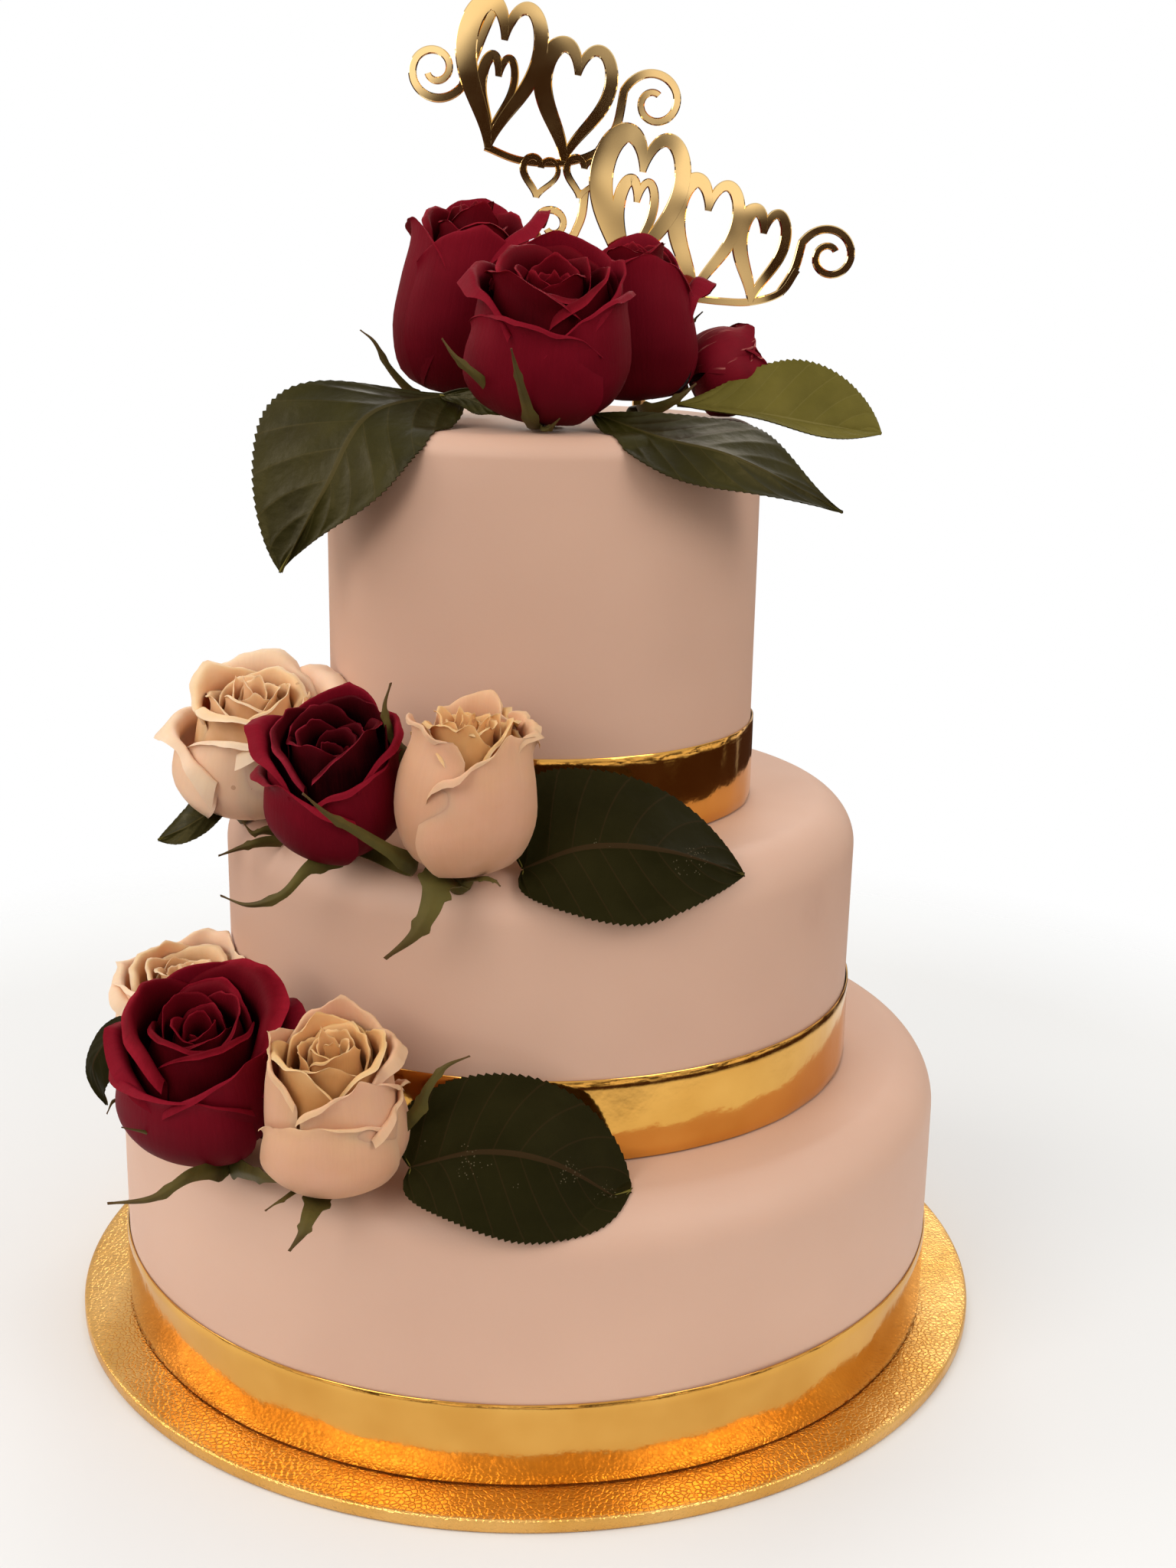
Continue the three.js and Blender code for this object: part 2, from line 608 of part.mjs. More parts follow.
// Turned solid whose points keep clear of the tiers
function fittedLathe(profile, segments, place, space) {
  const geometry = turnedGeometry(profile, segments);
  const spots = geometry.getAttribute("position");
  const spot = new THREE.Vector3();
  for (let i = 0; i < spots.count; i += 1) {
    spots.setXYZ(i, ...clearOfTiers(place, spot.fromBufferAttribute(spots, i), space));
  }
  return solidOf(geometry, place);
}

// Rolled bud with a hollow heart
function budSolid(flower, place) {
  const wide = BUD.reach * flower.radius - BUD.inset;
  const high = heightOf(flower);
  const profile = [...BUD_WALL, ...BUD_HEART.map(([r, h]) => [r, h * flower.heart])];
  return fittedLathe(profile.map(([r, h]) => [r * wide, h * high]), BUD.segments, place, BUD.space);
}

function flowerSolid(flower, place) {
  let body = budSolid(flower, place);
  for (const petal of outerPetals(flower)) body = body.add(petalSolid(flower, place, petal));
  return body;
}

// Thin blade along a midrib: a leaf or a sepal. Each half reaches out by its own curve of vectors
function bladeSolid(place, { rib, left, right, width }, { thickness, along, across }) {
  const middle = (u, v) => {
    const s = THREE.MathUtils.clamp(v, 0, 1);
    const t = THREE.MathUtils.clamp(u, -1, 1);
    const reach = (t < 0 ? left : right).getPoint(s);
    return rib.getPoint(s).addScaledVector(reach, Math.abs(t) * width(s));
  };
  const face = (sign) => (u, v) => {
    const upwards = middle(u, v + 1 / along).sub(middle(u, v - 1 / along));
    const sideways = middle(u + 2 / across, v).sub(middle(u - 2 / across, v));
    const normal = upwards.cross(sideways).normalize();
    const phase = BLADE.wavesAlong * v + BLADE.wavesAcross * u;
    const wave = Math.sin(phase) * BLADE.wave * Math.abs(u) * width(v);
    const raised = middle(u, v).addScaledVector(normal, wave);
    const edge = Math.max(Math.abs(u), v) > BLADE.rim ? BLADE.thinEdge : 1;
    const safe = clearOfTiers(place, raised, 0.5 * thickness + BLADE.space);
    return safe.addScaledVector(normal, sign * 0.5 * thickness * edge);
  };
  return sheetSolid(place, across, along, face(1), face(-1));
}

// Share of a leaf's full width at s along its midrib
function leafWidth({ widest, foot }, s) {
  const side = s < widest ? s / widest : (1 - s) / (1 - widest);
  const power = s < widest ? foot : LEAF.tipPower;
  return Math.max(LEAF.least, Math.sin((side * Math.PI) / 2) ** power);
}

function leafSolid(leaf, place) {
  const blade = {
    rib: curveThrough(leaf.rib.map((point) => vector(point).sub(place.position))),
    left: curveThrough(leaf.left.map(vector)),
    right: curveThrough(leaf.right.map(vector)),
    width: (s) => leafWidth(leaf, s),
  };
  const reach = vector(leaf.left[1]).length() + vector(leaf.right[1]).length();
  return bladeSolid(place, blade, reach < SMALL_LEAF.reach ? SMALL_LEAF : LEAF);
}

// Sepal: broad at the cup, drawn out to a thin tip
function sepalSolid(spray, base, root, { path, half }) {
  const points = path.map(vector);
  const ends = points[points.length - 1].clone().sub(points[0]);
  const outward = points[1].clone().sub(base).add(new THREE.Vector3(0, 0, SEPAL.lean));
  const reach = ends.cross(outward).setLength(half);
  const inside = root.clone().lerp(points[0], SEPAL.root);
  const { least, shoulder, full, taper } = SEPAL;
  const blade = {
    rib: curveThrough([inside, ...points]),
    left: new THREE.LineCurve3(reach.clone().negate(), reach.clone().negate()),
    right: new THREE.LineCurve3(reach, reach),
    width: (s) => least + lerp(shoulder, 1, smooth(s / full)) * (1 - s) ** taper,
  };
  return bladeSolid(spray, blade, SEPAL);
}

// Green cup below a flower with its sepals
function calyxSolid(flower, place, spray) {
  const size = Math.max(CUP.least, flower.radius * CUP.share);
  const profile = CUP_PROFILE.map(([r, h]) => [r * size, h * size]);
  let body = fittedLathe(profile, CUP.segments, place, CUP.space);
  const root = new THREE.Vector3(0, 0, CUP.root * size).applyMatrix4(place.matrix);
  for (const sepal of flower.sepals) body = body.add(sepalSolid(spray, place.position, root, sepal));
  return body;
}

// One side of a heart from notch to tip: side is 1 for the right, -1 for the left
class HeartSide extends THREE.Curve {
  constructor(heart, side) {
    super();
    this.heart = heart;
    this.side = side;
  }

  getPoint(t, target = new THREE.Vector2()) {
    const { x, tip, width, height } = this.heart;
    const a = t * Math.PI;
    const across = this.side * (width / 2) * Math.sin(a) ** 3;
    const cosines = HEART_WAVES.map((wave, k) => wave * Math.cos(k * a));
    const share = cosines.reduce((sum, term) => sum + term) / HEART_RISE;
    target.set(across, height * share);
    return target.rotateAround(new THREE.Vector2(), degToRad(ORNAMENT.lean)).add(new THREE.Vector2(x, tip));
  }
}

// Flat stroke along points of the ornament's plane
function strokeGeometry(points, widthAt) {
  const last = points.length - 1;
  const left = [];
  const right = [];
  points.forEach((point, i) => {
    const along = points[Math.min(i + 1, last)].clone().sub(points[Math.max(i - 1, 0)]);
    const across = new THREE.Vector2(-along.y, along.x).setLength(0.5 * widthAt(i / last));
    left.push(point.clone().add(across));
    right.push(point.clone().sub(across));
  });
  const outline = new THREE.Shape([...left, ...right.reverse()]);
  return new THREE.ExtrudeGeometry(outline, { depth: ORNAMENT.thickness, bevelEnabled: false });
}

const flatPoint = ([x, z]) => new THREE.Vector3(x, z, 0);

// Points of a smooth flat curve
function flatPoints(points, steps) {
  return curveThrough(points).getPoints(steps).map(({ x, y }) => new THREE.Vector2(x, y));
}

function scrollPoints({ tail, x, z, outer, inner, start, end }) {
  const curl = [];
  for (let i = 0; i <= STROKE_STEPS.curl; i += 1) {
    const t = i / STROKE_STEPS.curl;
    const angle = degToRad(lerp(start, end, t));
    const radius = lerp(outer, inner, t ** 0.8);
    curl.push(new THREE.Vector2(x + radius * Math.cos(angle), z + radius * Math.sin(angle)));
  }
  const lead = [...tail.map(flatPoint), new THREE.Vector3(curl[0].x, curl[0].y, 0)];
  return [...flatPoints(lead, STROKE_STEPS.tail).slice(0, -1), ...curl];
}

function ornamentSolid(place) {
  const strokes = [];
  for (const heart of HEARTS) {
    for (const [side, share] of [[-1, 1], [1, ORNAMENT.lightSide]]) {
      const heavy = share * heart.heavy;
      const width = (t) => lerp(ORNAMENT.thin, heavy, Math.sin(Math.PI * t) ** ORNAMENT.swell);
      const steps = Math.round(HEART_STEPS.least + heart.height / HEART_STEPS.each);
      strokes.push(strokeGeometry(new HeartSide(heart, side).getPoints(steps), width));
    }
  }
  for (const line of BASE_LINES) {
    strokes.push(strokeGeometry(flatPoints(line.map(flatPoint), STROKE_STEPS.line), () => ORNAMENT.line));
  }
  for (const scroll of SCROLLS) {
    strokes.push(strokeGeometry(scrollPoints(scroll), (t) => ORNAMENT.thin + 1 - t));
  }
  for (const { x, top } of STAKES) {
    const ends = [new THREE.Vector2(x, GAP), new THREE.Vector2(x, top)];
    strokes.push(strokeGeometry(ends, () => ORNAMENT.stake));
  }
  return strokes.map((geometry) => solidOf(geometry, place)).reduce((body, stroke) => body.add(stroke));
}

// A solid grown about its own middle, used to cut a clear gap beside it
function grown(solid, space) {
  const { min, max } = solid.boundingBox();
  const middle = min.map((low, k) => 0.5 * (low + max[k]));
  const scale = min.map((low, k) => 1 + (2 * space) / (max[k] - low));
  return solid.translate(middle.map((m) => -m)).scale(scale).translate(middle);
}

function boxesMeet(a, b) {
  const [p, q] = [a.boundingBox(), b.boundingBox()];
  return p.min.every((low, k) => low < q.max[k] + 1 && q.min[k] < p.max[k] + 1);
}

// Cuts a solid free of the tiers and of the neighbours placed before it
function fitted(solid, tiers, placed) {
  let body = solid;
  for (const tier of tiers) {
    if (boxesMeet(body, tier)) body = body.subtract(grown(tier, GAP));
  }
  for (const other of placed.filter((candidate) => boxesMeet(solid, candidate))) {
    for (const space of NEIGHBOUR_GAPS) {
      if (body.intersect(grown(other, TOUCH)).volume() > 0) body = body.subtract(grown(other, space));
    }
  }
  placed.push(body);
  return body;
}

// Storey: a tier with its ribbon, standing at the tier's own foot
function addStorey(cake, tier) {
  const storey = new THREE.Group();
  storey.position.set(tier.x, tier.y, tier.low);
  storey.add(meshOf(`tier_${tier.name}`, tierGeometry(tier), LOOKS.fondant));
  storey.add(meshOf(`ribbon_${tier.name}`, ribbonGeometry(tier), LOOKS.foil));
  cake.add(storey);
  return [solidOf(tierGeometry(tier), storey), solidOf(footGeometry(tier), storey)];
}

// Ornament: drawn in its own XY plane, then stood upright over the cake
function addOrnament(cake, placed) {
  const place = new THREE.Group();
  place.position.set(0, ORNAMENT.y + 0.5 * ORNAMENT.thickness, CAKE_TOP);
  place.rotation.x = Math.PI / 2;
  cake.add(place);
  const solid = ornamentSolid(place);
  placed.push(solid);
  place.add(meshOf("topper", geometryOf(solid, place), LOOKS.mirror));
}

// All flowers first, then their calyxes, then the leaves: each gives way to those placed before it
function addSprays(cake, tiers, placed) {
  const flowers = [];
  const leaves = [];
  for (const { name, roses, leaves: spread } of SPRAYS) {
    const spray = new THREE.Group();
    spray.position.z = TIERS.find((tier) => tier.name === name).top;
    cake.add(spray);
    for (const flower of roses) {
      const place = flowerPlace(flower);
      spray.add(place);
      place.updateWorldMatrix(true, false);
      flowers.push({ flower, place, spray });
    }
    for (const leaf of spread) {
      const place = new THREE.Group();
      place.position.set(...leaf.rib[0]);
      spray.add(place);
      place.updateWorldMatrix(true, false);
      leaves.push({ leaf, place });
    }
  }
  for (const { flower, place } of flowers) {
    const solid = fitted(flowerSolid(flower, place), tiers, placed);
    place.add(meshOf(flower.name, geometryOf(solid, place), flower.red ? LOOKS.red : LOOKS.cream));
  }
  for (const { flower, place, spray } of flowers) {
    const solid = fitted(calyxSolid(flower, place, spray), tiers, placed);
    place.add(meshOf(flower.name.replace("rose", "calyx"), geometryOf(solid, place), LOOKS.green));
  }
  for (const { leaf, place } of leaves) {
    const solid = fitted(leafSolid(leaf, place), tiers, placed);
    place.add(meshOf(leaf.name, geometryOf(solid, place), LOOKS.leaf));
  }
}

function weddingCake() {
  const cake = new THREE.Group();
  cake.name = "tiered_wedding_cake";
  cake.add(meshOf("board", boardGeometry(), LOOKS.board));
  const tiers = TIERS.flatMap((tier) => addStorey(cake, tier));
  const placed = [];
  addOrnament(cake, placed);
  addSprays(cake, tiers, placed);
  return cake;
}

export default weddingCake();
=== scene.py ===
# Tiered wedding cake: surfaces, flowers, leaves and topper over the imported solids.
import math

import bpy
import numpy as np
from mathutils import Matrix, Vector


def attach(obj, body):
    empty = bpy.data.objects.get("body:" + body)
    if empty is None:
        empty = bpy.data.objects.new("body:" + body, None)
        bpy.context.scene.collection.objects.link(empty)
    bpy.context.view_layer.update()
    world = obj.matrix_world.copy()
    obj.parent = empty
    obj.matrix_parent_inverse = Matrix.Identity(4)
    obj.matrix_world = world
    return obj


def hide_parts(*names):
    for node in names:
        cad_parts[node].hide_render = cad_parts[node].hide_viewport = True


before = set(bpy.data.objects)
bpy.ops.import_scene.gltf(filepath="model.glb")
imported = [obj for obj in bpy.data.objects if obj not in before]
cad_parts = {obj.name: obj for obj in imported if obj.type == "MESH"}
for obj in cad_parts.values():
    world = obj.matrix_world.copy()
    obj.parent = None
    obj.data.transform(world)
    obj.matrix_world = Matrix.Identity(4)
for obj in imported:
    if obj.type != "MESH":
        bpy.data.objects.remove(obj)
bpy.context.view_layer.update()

# A millimetre in metres, the least length to divide by, and a full turn in radians
MM = 0.001
TINY = 1e-9
FULL_TURN = 6.283

# Sizes in millimetres, as in the solids
BOARD_RADIUS = 177.8
BOARD_THICKNESS = 5.0
TIERS = {
    "bottom": dict(x=-0.4, y=-0.1, radius=158.8, low=5.3, top=103.4, shoulder=17.0),
    "middle": dict(x=2.9, y=-1.2, radius=119.8, low=103.7, top=204.0, shoulder=17.0),
    "top": dict(x=2.4, y=-0.5, radius=79.5, low=204.3, top=343.0, shoulder=8.0),
}
RIBBON_WIDTH = 30.0
RIBBON_GAP = 0.35
RIBBON_THICKNESS = 0.9
RIBBON_LIFT = 0.3

# Where a ribbon's end laps over, in degrees, and how far the lap stands out
RIBBON_SEAM = 75
RIBBON_LAP = 0.5

# Height above a ribbon over which flowers ease back to the icing
RIBBON_EASE = 4.0

# Unevenness of the rolled icing
ICING_WOBBLE = 0.16

# Points round a turned form
TIER_STEPS = 256
RIBBON_STEPS = 384
STALK_STEPS = 24

# Petals of the rolled bud, and the turn in degrees from each to the next
INNER_PETALS = 13
TURN_STEP = 137.5

# A petal from base to rim: reach as far as the bend, rise, flare of the lip and roll of the lip
PETAL_REACH = [0.12, 0.74, 1, 0.99]
PETAL_RISE = [0.02, 0.11, 0.36, 0.64, 0.87, 0.98, 1]
PETAL_FLARE = [0, 0, 0, 0, 0, 0.3, 1]
PETAL_ROLL = [0, 0, 0, 0, 0, 0, 1]

# Waves of a petal's rim, outwards and upwards: size, rate across the petal and share of the phase
OUTWARD_WAVES = [(1.0, 4.3, 1), (0.6, 9.1, 2), (0.35, 17, 1)]
UPWARD_WAVES = [(0.7, 6.1, 1.7), (0.4, 13, 3)]

# Points across and along a petal, its wall in the middle and at the rim, and its clear space to the icing
PETAL_ACROSS = 31
PETAL_ALONG = 26
PETAL_WALL = 0.55
PETAL_RIM_WALL = 0.07
PETAL_SPACE = 0.9

# Material numbers of a rose and of a leaf
OUTER_LOOK = 0
HEART_LOOK = 1
TOP_LOOK = 0
UNDER_LOOK = 1

# Turned core that closes the bud, and turned cup under it: radius and height
CORE_PROFILE = [(0.5, 0.05), (1.0, 0.3), (1.0, 0.7), (0.6, 0.8), (0.05, 0.82)]
CUP_PROFILE = [(0.02, -1.9), (0.35, -1.85), (0.62, -1.65), (0.9, -1.25), (1.0, -0.85), (0.95, -0.5),
               (0.75, -0.25), (0.02, -0.2)]
CUP_SPACE = 0.8
SMALLEST_CUP = 3.2

# What an outer petal usually has: reach against the flower's own, half angle, closing of the rim, roll of
# the lip, curl of the corners, point in the middle of the rim, and how much higher its right corner is
OUTER_PETAL = dict(reach=1.0, spread=62, close=0.92, roll=0.04, curl=0.05, point=0.02, skew=0.0)


def petal(turn, tall, lip, **more):
    """Outer petal: turn in degrees (0 faces the viewer, 90 is right), rim height and flare of the lip."""
    return {**OUTER_PETAL, "turn": turn, "tall": tall, "lip": lip, **more}


# Flowers: look, base, tip, radius, how open, height of the heart, turn of the spiral, waviness of the
# rims, and the outer petals from the inside out
ROSES = {
    "rose_top_left": dict(
        look="red", base=(-35, 3, 350), tip=(-22, -5, 420), radius=24,
        open=0.3, heart=1.0, turn=330, ruffle=0.5,
        outer=[
            petal(175, 0.98, 0.06),
            petal(75, 0.98, 0.3, point=0.08, close=0.9),
            petal(-70, 0.84, 0.12, roll=0.02),
            petal(10, 0.88, -0.04, roll=0.0, spread=56),
        ]),
    "rose_top_centre": dict(
        look="red", base=(3, -42, 349), tip=(4, -63, 403), radius=29,
        open=0.55, heart=0.86, turn=20, ruffle=0.7,
        outer=[
            petal(170, 0.94, 0.0, close=0.95, spread=75),
            petal(95, 0.9, 0.06),
            petal(-90, 0.86, 0.22, roll=0.12, curl=0.12),
            petal(48, 0.82, 0.08, skew=0.1, spread=52),
            petal(-20, 0.74, 0.04, skew=-0.05, spread=58),
        ]),
    "rose_top_right": dict(
        look="red", base=(36, -4, 349), tip=(31.5, -9, 408.5), radius=23,
        open=0.4, heart=0.97, turn=75, ruffle=0.6,
        outer=[
            petal(170, 0.98, 0.05),
            petal(-90, 0.95, 0.06),
            petal(92, 0.72, 0.38, roll=0.1, point=0.06, spread=34),
            petal(5, 0.9, 0.05, spread=60),
        ]),
    "rose_top_side": dict(
        look="streaked", base=(55, 8, 356), tip=(82, 13, 366), radius=16.5,
        open=0.25, heart=0.95, turn=10, ruffle=0.4,
        outer=[
            petal(160, 0.98, 0.1),
            petal(-60, 0.95, 0.05, close=0.8),
            petal(40, 1.0, 0.0, close=0.75),
        ]),
    "rose_middle_back": dict(
        look="pale", base=(-103.5, -40, 207), tip=(-99, -54, 255), radius=27.5,
        open=0.6, heart=1.04, turn=300, ruffle=0.9,
        outer=[
            petal(175, 0.95, 0.25, reach=1.15, spread=58),
            petal(120, 0.95, 0.35, reach=1.2, roll=0.06, spread=50),
            petal(60, 0.93, 0.25, reach=1.05, roll=0.08),
            petal(10, 0.8, 0.12),
            petal(-78, 0.62, 0.36, roll=0.3),
        ]),
    "rose_middle_red": dict(
        look="hollow", base=(-65, -91, 210), tip=(-67, -113, 260), radius=24.5,
        open=0.7, heart=0.7, turn=350, ruffle=0.8,
        outer=[
            petal(165, 0.88, 0.02, close=1.0, point=0.06, spread=72),
            petal(88, 0.84, 0.1, close=1.0),
            petal(-95, 0.84, 0.25, roll=0.06, point=0.06),
            petal(40, 0.72, 0.06, skew=0.08),
            petal(-42, 0.64, 0.16, roll=0.06, point=0.05, skew=-0.03),
        ]),
    "rose_middle_front": dict(
        look="cream", base=(-24, -113, 205), tip=(-21, -118, 262), radius=23,
        open=0.45, heart=0.97, turn=5, ruffle=2.0,
        outer=[
            petal(170, 0.98, 0.08, close=0.88),
            petal(100, 0.93, 0.14, close=0.9),
            petal(-70, 0.94, 0.0, close=0.82, skew=0.06, spread=70),
            petal(28, 0.86, 0.04, close=0.9, skew=0.2, spread=66),
        ]),
    "rose_bottom_back": dict(
        look="pale", base=(-127, -47, 110), tip=(-126, -53, 152), radius=26,
        open=0.9, heart=0.9, turn=300, ruffle=1.0,
        outer=[
            petal(150, 1.0, 0.2),
            petal(90, 1.0, 0.25),
            petal(-90, 0.85, 0.3, roll=0.1),
            petal(-30, 0.9, 0.2),
        ]),
    "rose_bottom_red": dict(
        look="red", base=(-111, -108, 110), tip=(-109, -131, 168), radius=28.5,
        open=0.7, heart=0.82, turn=340, ruffle=0.6,
        outer=[
            petal(170, 0.89, 0.05, close=1.0, spread=70),
            petal(105, 0.78, 0.34, reach=1.2, point=0.08, spread=50),
            petal(-85, 0.74, 0.22, roll=0.06, point=0.08),
            petal(45, 0.78, 0.08, skew=0.06),
            petal(-25, 0.66, 0.12, roll=0.05, spread=70),
        ]),
    "rose_bottom_front": dict(
        look="cream", base=(-63.5, -138, 109), tip=(-63.5, -149, 164.5), radius=25,
        open=0.5, heart=0.95, turn=10, ruffle=1.1,
        outer=[
            petal(175, 0.97, 0.1),
            petal(95, 0.9, 0.18, roll=0.08, curl=0.1),
            petal(-90, 0.92, 0.06),
            petal(30, 0.82, 0.06, spread=54),
            petal(80, 0.62, 0.12, roll=0.06, spread=44),
            petal(-2, 0.6, 0.02, roll=0.03, spread=64, skew=0.05),
        ]),
}

# Sepals: path from the cup to the tip, and half width
SEPALS = {
    "rose_top_left": [
        ([(-40, -6, 347.5), (-46, -16, 352.5), (-53, -22, 361), (-58, -24, 370), (-63, -22, 374)], 2.6),
    ],
    "rose_top_centre": [
        ([(-1.5, -66, 344.5), (-5, -80, 355.5), (-7.5, -88, 365), (-9, -92, 371.5)], 3),
        ([(-9.5, -58, 351), (-19.5, -70, 360.5), (-27.5, -72, 367.5), (-32, -70, 373.5)], 3),
        ([(0.5, -66, 344), (3.5, -69, 345), (7, -70, 348.5)], 2.5),
    ],
    "rose_top_right": [
        ([(36, -28, 347.5), (43, -36, 350.5), (49.5, -38, 354.5), (54.5, -36, 358.5)], 3.5),
    ],
    "rose_top_side": [
        ([(54.5, 4, 375.5), (55.5, 0, 379), (58.5, -2, 382)], 1.6),
    ],
    "rose_middle_back": [
        ([(-84.5, -62, 202), (-93, -70, 205), (-98, -72, 204.5), (-101.5, -70, 208)], 3),
        ([(-82.5, -64, 200.5), (-93.5, -76, 202.5), (-101, -78, 201), (-109, -78, 198)], 3.4),
    ],
    "rose_middle_red": [
        ([(-64, -104, 206), (-73, -114, 206), (-82, -118, 197.5), (-93.5, -114, 192.5), (-104, -106, 193)],
         3.6),
        ([(-38, -116, 206), (-53.5, -129, 221.5), (-63.5, -138, 230.5), (-71.5, -141, 238.5)], 3.4),
        ([(-42.5, -102, 235.5), (-46.5, -104, 249), (-48.5, -104, 257.5), (-47, -101, 265)], 4.5),
    ],
    "rose_middle_front": [
        ([(-30.5, -126, 207), (-33, -134, 199.5), (-38, -136, 190.5), (-47.5, -132, 181)], 7),
        ([(-16.5, -128, 208), (-12.5, -134, 209), (-10.5, -136, 207.5)], 2),
    ],
    "rose_bottom_back": [
        ([(-138.5, -62, 102), (-143.5, -72, 103), (-149, -78, 106), (-151.5, -80, 101.5)], 2.5),
    ],
    "rose_bottom_red": [
        ([(-101, -124, 104), (-109, -148, 112), (-120.5, -154, 107), (-136, -150, 103)], 4.2),
        ([(-100.5, -126, 105.5), (-88.5, -146, 111), (-77, -152, 112)], 5.5),
        ([(-117.5, -122, 109), (-123, -138, 121.5), (-132, -142, 126)], 2.2),
    ],
    "rose_bottom_front": [
        ([(-67, -150, 107.5), (-69, -166, 108.5), (-71, -172, 104.5), (-75, -172, 98.5)], 5),
        ([(-73.5, -148, 109), (-78.5, -162, 111.5), (-83, -166, 109.5)], 2.6),
        ([(-38.5, -146, 132), (-33.5, -150, 143.5), (-27.5, -150, 151.5), (-19.5, -148, 154.5)], 3),
    ],
}

# Leaves: midrib from foot to tip, reach of each half at foot, middle and tip, and what differs from the
# usual look, widest place and roundness of the foot (less is rounder). Left and right are those of the waxy
# top, seen tip upwards
USUAL_LEAF = dict(look="glossy", widest=0.5, foot=0.75)
LEAVES = {
    "leaf_top_left": dict(
        rib=[(-27.5, -34, 353.5), (-57, -52, 347.5), (-72, -60, 322.5), (-88, -56, 293.5)],
        left=[(18, -28, -16), (16, -16, -10), (-3, 8, -8)],
        right=[(-10, 10, 2), (-30, 21, 10), (-28, 14, -7)], foot=0.6),
    "leaf_top_front": dict(
        rib=[(18.5, -50, 348.5), (41, -70, 342.5), (66.5, -74, 336.5), (104, -60, 318)],
        left=[(2, 10, 5), (18, 24, 6.5), (12, 12, -2)],
        right=[(-12, -16, -3), (-2, -10, -11), (6, -10, -10)], widest=0.45),
    "leaf_top_right": dict(
        rib=[(49.5, -16, 349.5), (76.5, -12, 347), (102.5, -6, 342.5), (126, 0, 339)],
        left=[(-6, -13, 1), (-3.5, -15, -2), (2, -15, -5)],
        right=[(0, 7, 6), (3, 13, 20), (16, 18, 18)]),
    "leaf_top_small": dict(
        rib=[(-34, -38, 353), (-26, -46, 353), (-19, -52, 351), (-13, -57, 348.5)],
        left=[(2, -2, 3.5)] * 3, right=[(-2, -3, -2.5)] * 3),
    "leaf_middle_front": dict(
        look="dark",
        rib=[(-3.5, -114, 206), (18, -118, 215), (43, -116, 213.5), (71, -100, 200.5)],
        left=[(-22, 22, 27), (-6, 26, 18.5), (12, 32, 8)],
        right=[(-9, -11, -14), (0.5, -10, -23.5), (10, -3, -17)], foot=0.42),
    "leaf_middle_small": dict(
        rib=[(-107, -56, 210.5), (-113, -62, 209.5), (-121.5, -66, 205), (-132, -66, 200)],
        left=[(0.5, -5, -3), (0.5, -3.5, -5), (-0.5, -1.5, -8)],
        right=[(-1, 9, 3), (-3.5, 6.5, 5.5), (-6, 6, -2)]),
    "leaf_bottom_front": dict(
        look="dark",
        rib=[(-38.5, -150, 116.5), (-15, -156, 125), (8, -154, 120), (33, -140, 98)],
        left=[(-20, 20, 15), (0, 26, 16), (26, 36, 2)],
        right=[(-10, -10, -14), (-4, -8, -26), (7, -6, -29)], foot=0.36),
    "leaf_bottom_left": dict(
        look="dark",
        rib=[(-145, -76, 136.5), (-150, -82, 130.5), (-154.5, -84, 121), (-150.5, -84, 107)],
        left=[(6, -4, -1), (7, -4.5, -5), (5, -6, -5)],
        right=[(-2, 12, 3), (-5, 5.5, -2), (-3, 1.5, -6)], foot=0.6),
}

# Leaf detail: points along and across, side veins, relief of the veins and teeth on the edge. A leaf that
# is narrower than SMALL_WIDTH takes the small one
LARGE_LEAF = dict(along=161, across=49, veins=8, relief=0.55, teeth=40)
SMALL_LEAF = dict(along=73, across=25, veins=5, relief=0.25, teeth=18)
SMALL_WIDTH = 20
LEAF_WALL = 0.4
LEAF_WAVE = 0.9
TOOTH_DEPTH = 0.045
SEPAL_ALONG = 41
SEPAL_ACROSS = 11
SEPAL_WALL = 0.5
BLADE_SPACE = 0.6

# Ornament: slim leaning hearts, base lines, scrolls that wind inwards clockwise, and two stakes. Places are
# (x, z) in its plane; a heart has the place of its tip, width, height and greatest stroke width
TOPPER_Y = 29.0
TOPPER_THICKNESS = 3.0
TOPPER_THIN = 2.4
TOPPER_BEVEL = 0.4
STROKE_STEP = 0.04
STAKE_WIDTH = 5.0
HEARTS = [
    ((-20, 438), 27, 50, 8.0),
    ((-19.5, 442), 12, 28, 4.2),
    ((8, 434), 25, 40, 7.0),
    ((31, 391), 30, 53, 9.0),
    ((31.5, 396), 13, 32, 5.0),
    ((57, 386), 23, 42, 7.0),
    ((79, 385), 17, 33, 6.0),
    ((-2, 421), 13, 14, 2.8),
    ((14, 421), 13, 14, 2.8),
]
HEART_LEAN = -9
HEART_STEPS = 81
BASE_LINES = [
    [(-21, 438.5), (-8, 434), (8, 433.5), (21, 438), (28, 447)],
    [(30, 391.5), (44, 387.5), (57, 386), (68, 385), (79, 385), (90, 388.5), (96, 397)],
]
SCROLLS = [
    dict(tail=[(-17, 488), (-22, 477), (-26, 467)], x=-39.3, z=465, outer=11.5, inner=3,
         start=-30, end=-510),
    dict(tail=[(21, 438), (27, 446)], x=41, z=455, outer=12, inner=3, start=-200, end=-660),
    dict(tail=[(16, 424), (15, 415)], x=4, z=411.5, outer=9, inner=2.6, start=-20, end=-500),
    dict(tail=[(90, 388.5), (95, 397)], x=108, z=402, outer=11.5, inner=3, start=-205, end=-680),
]
STAKES = [(4, 404), (38, 389)]

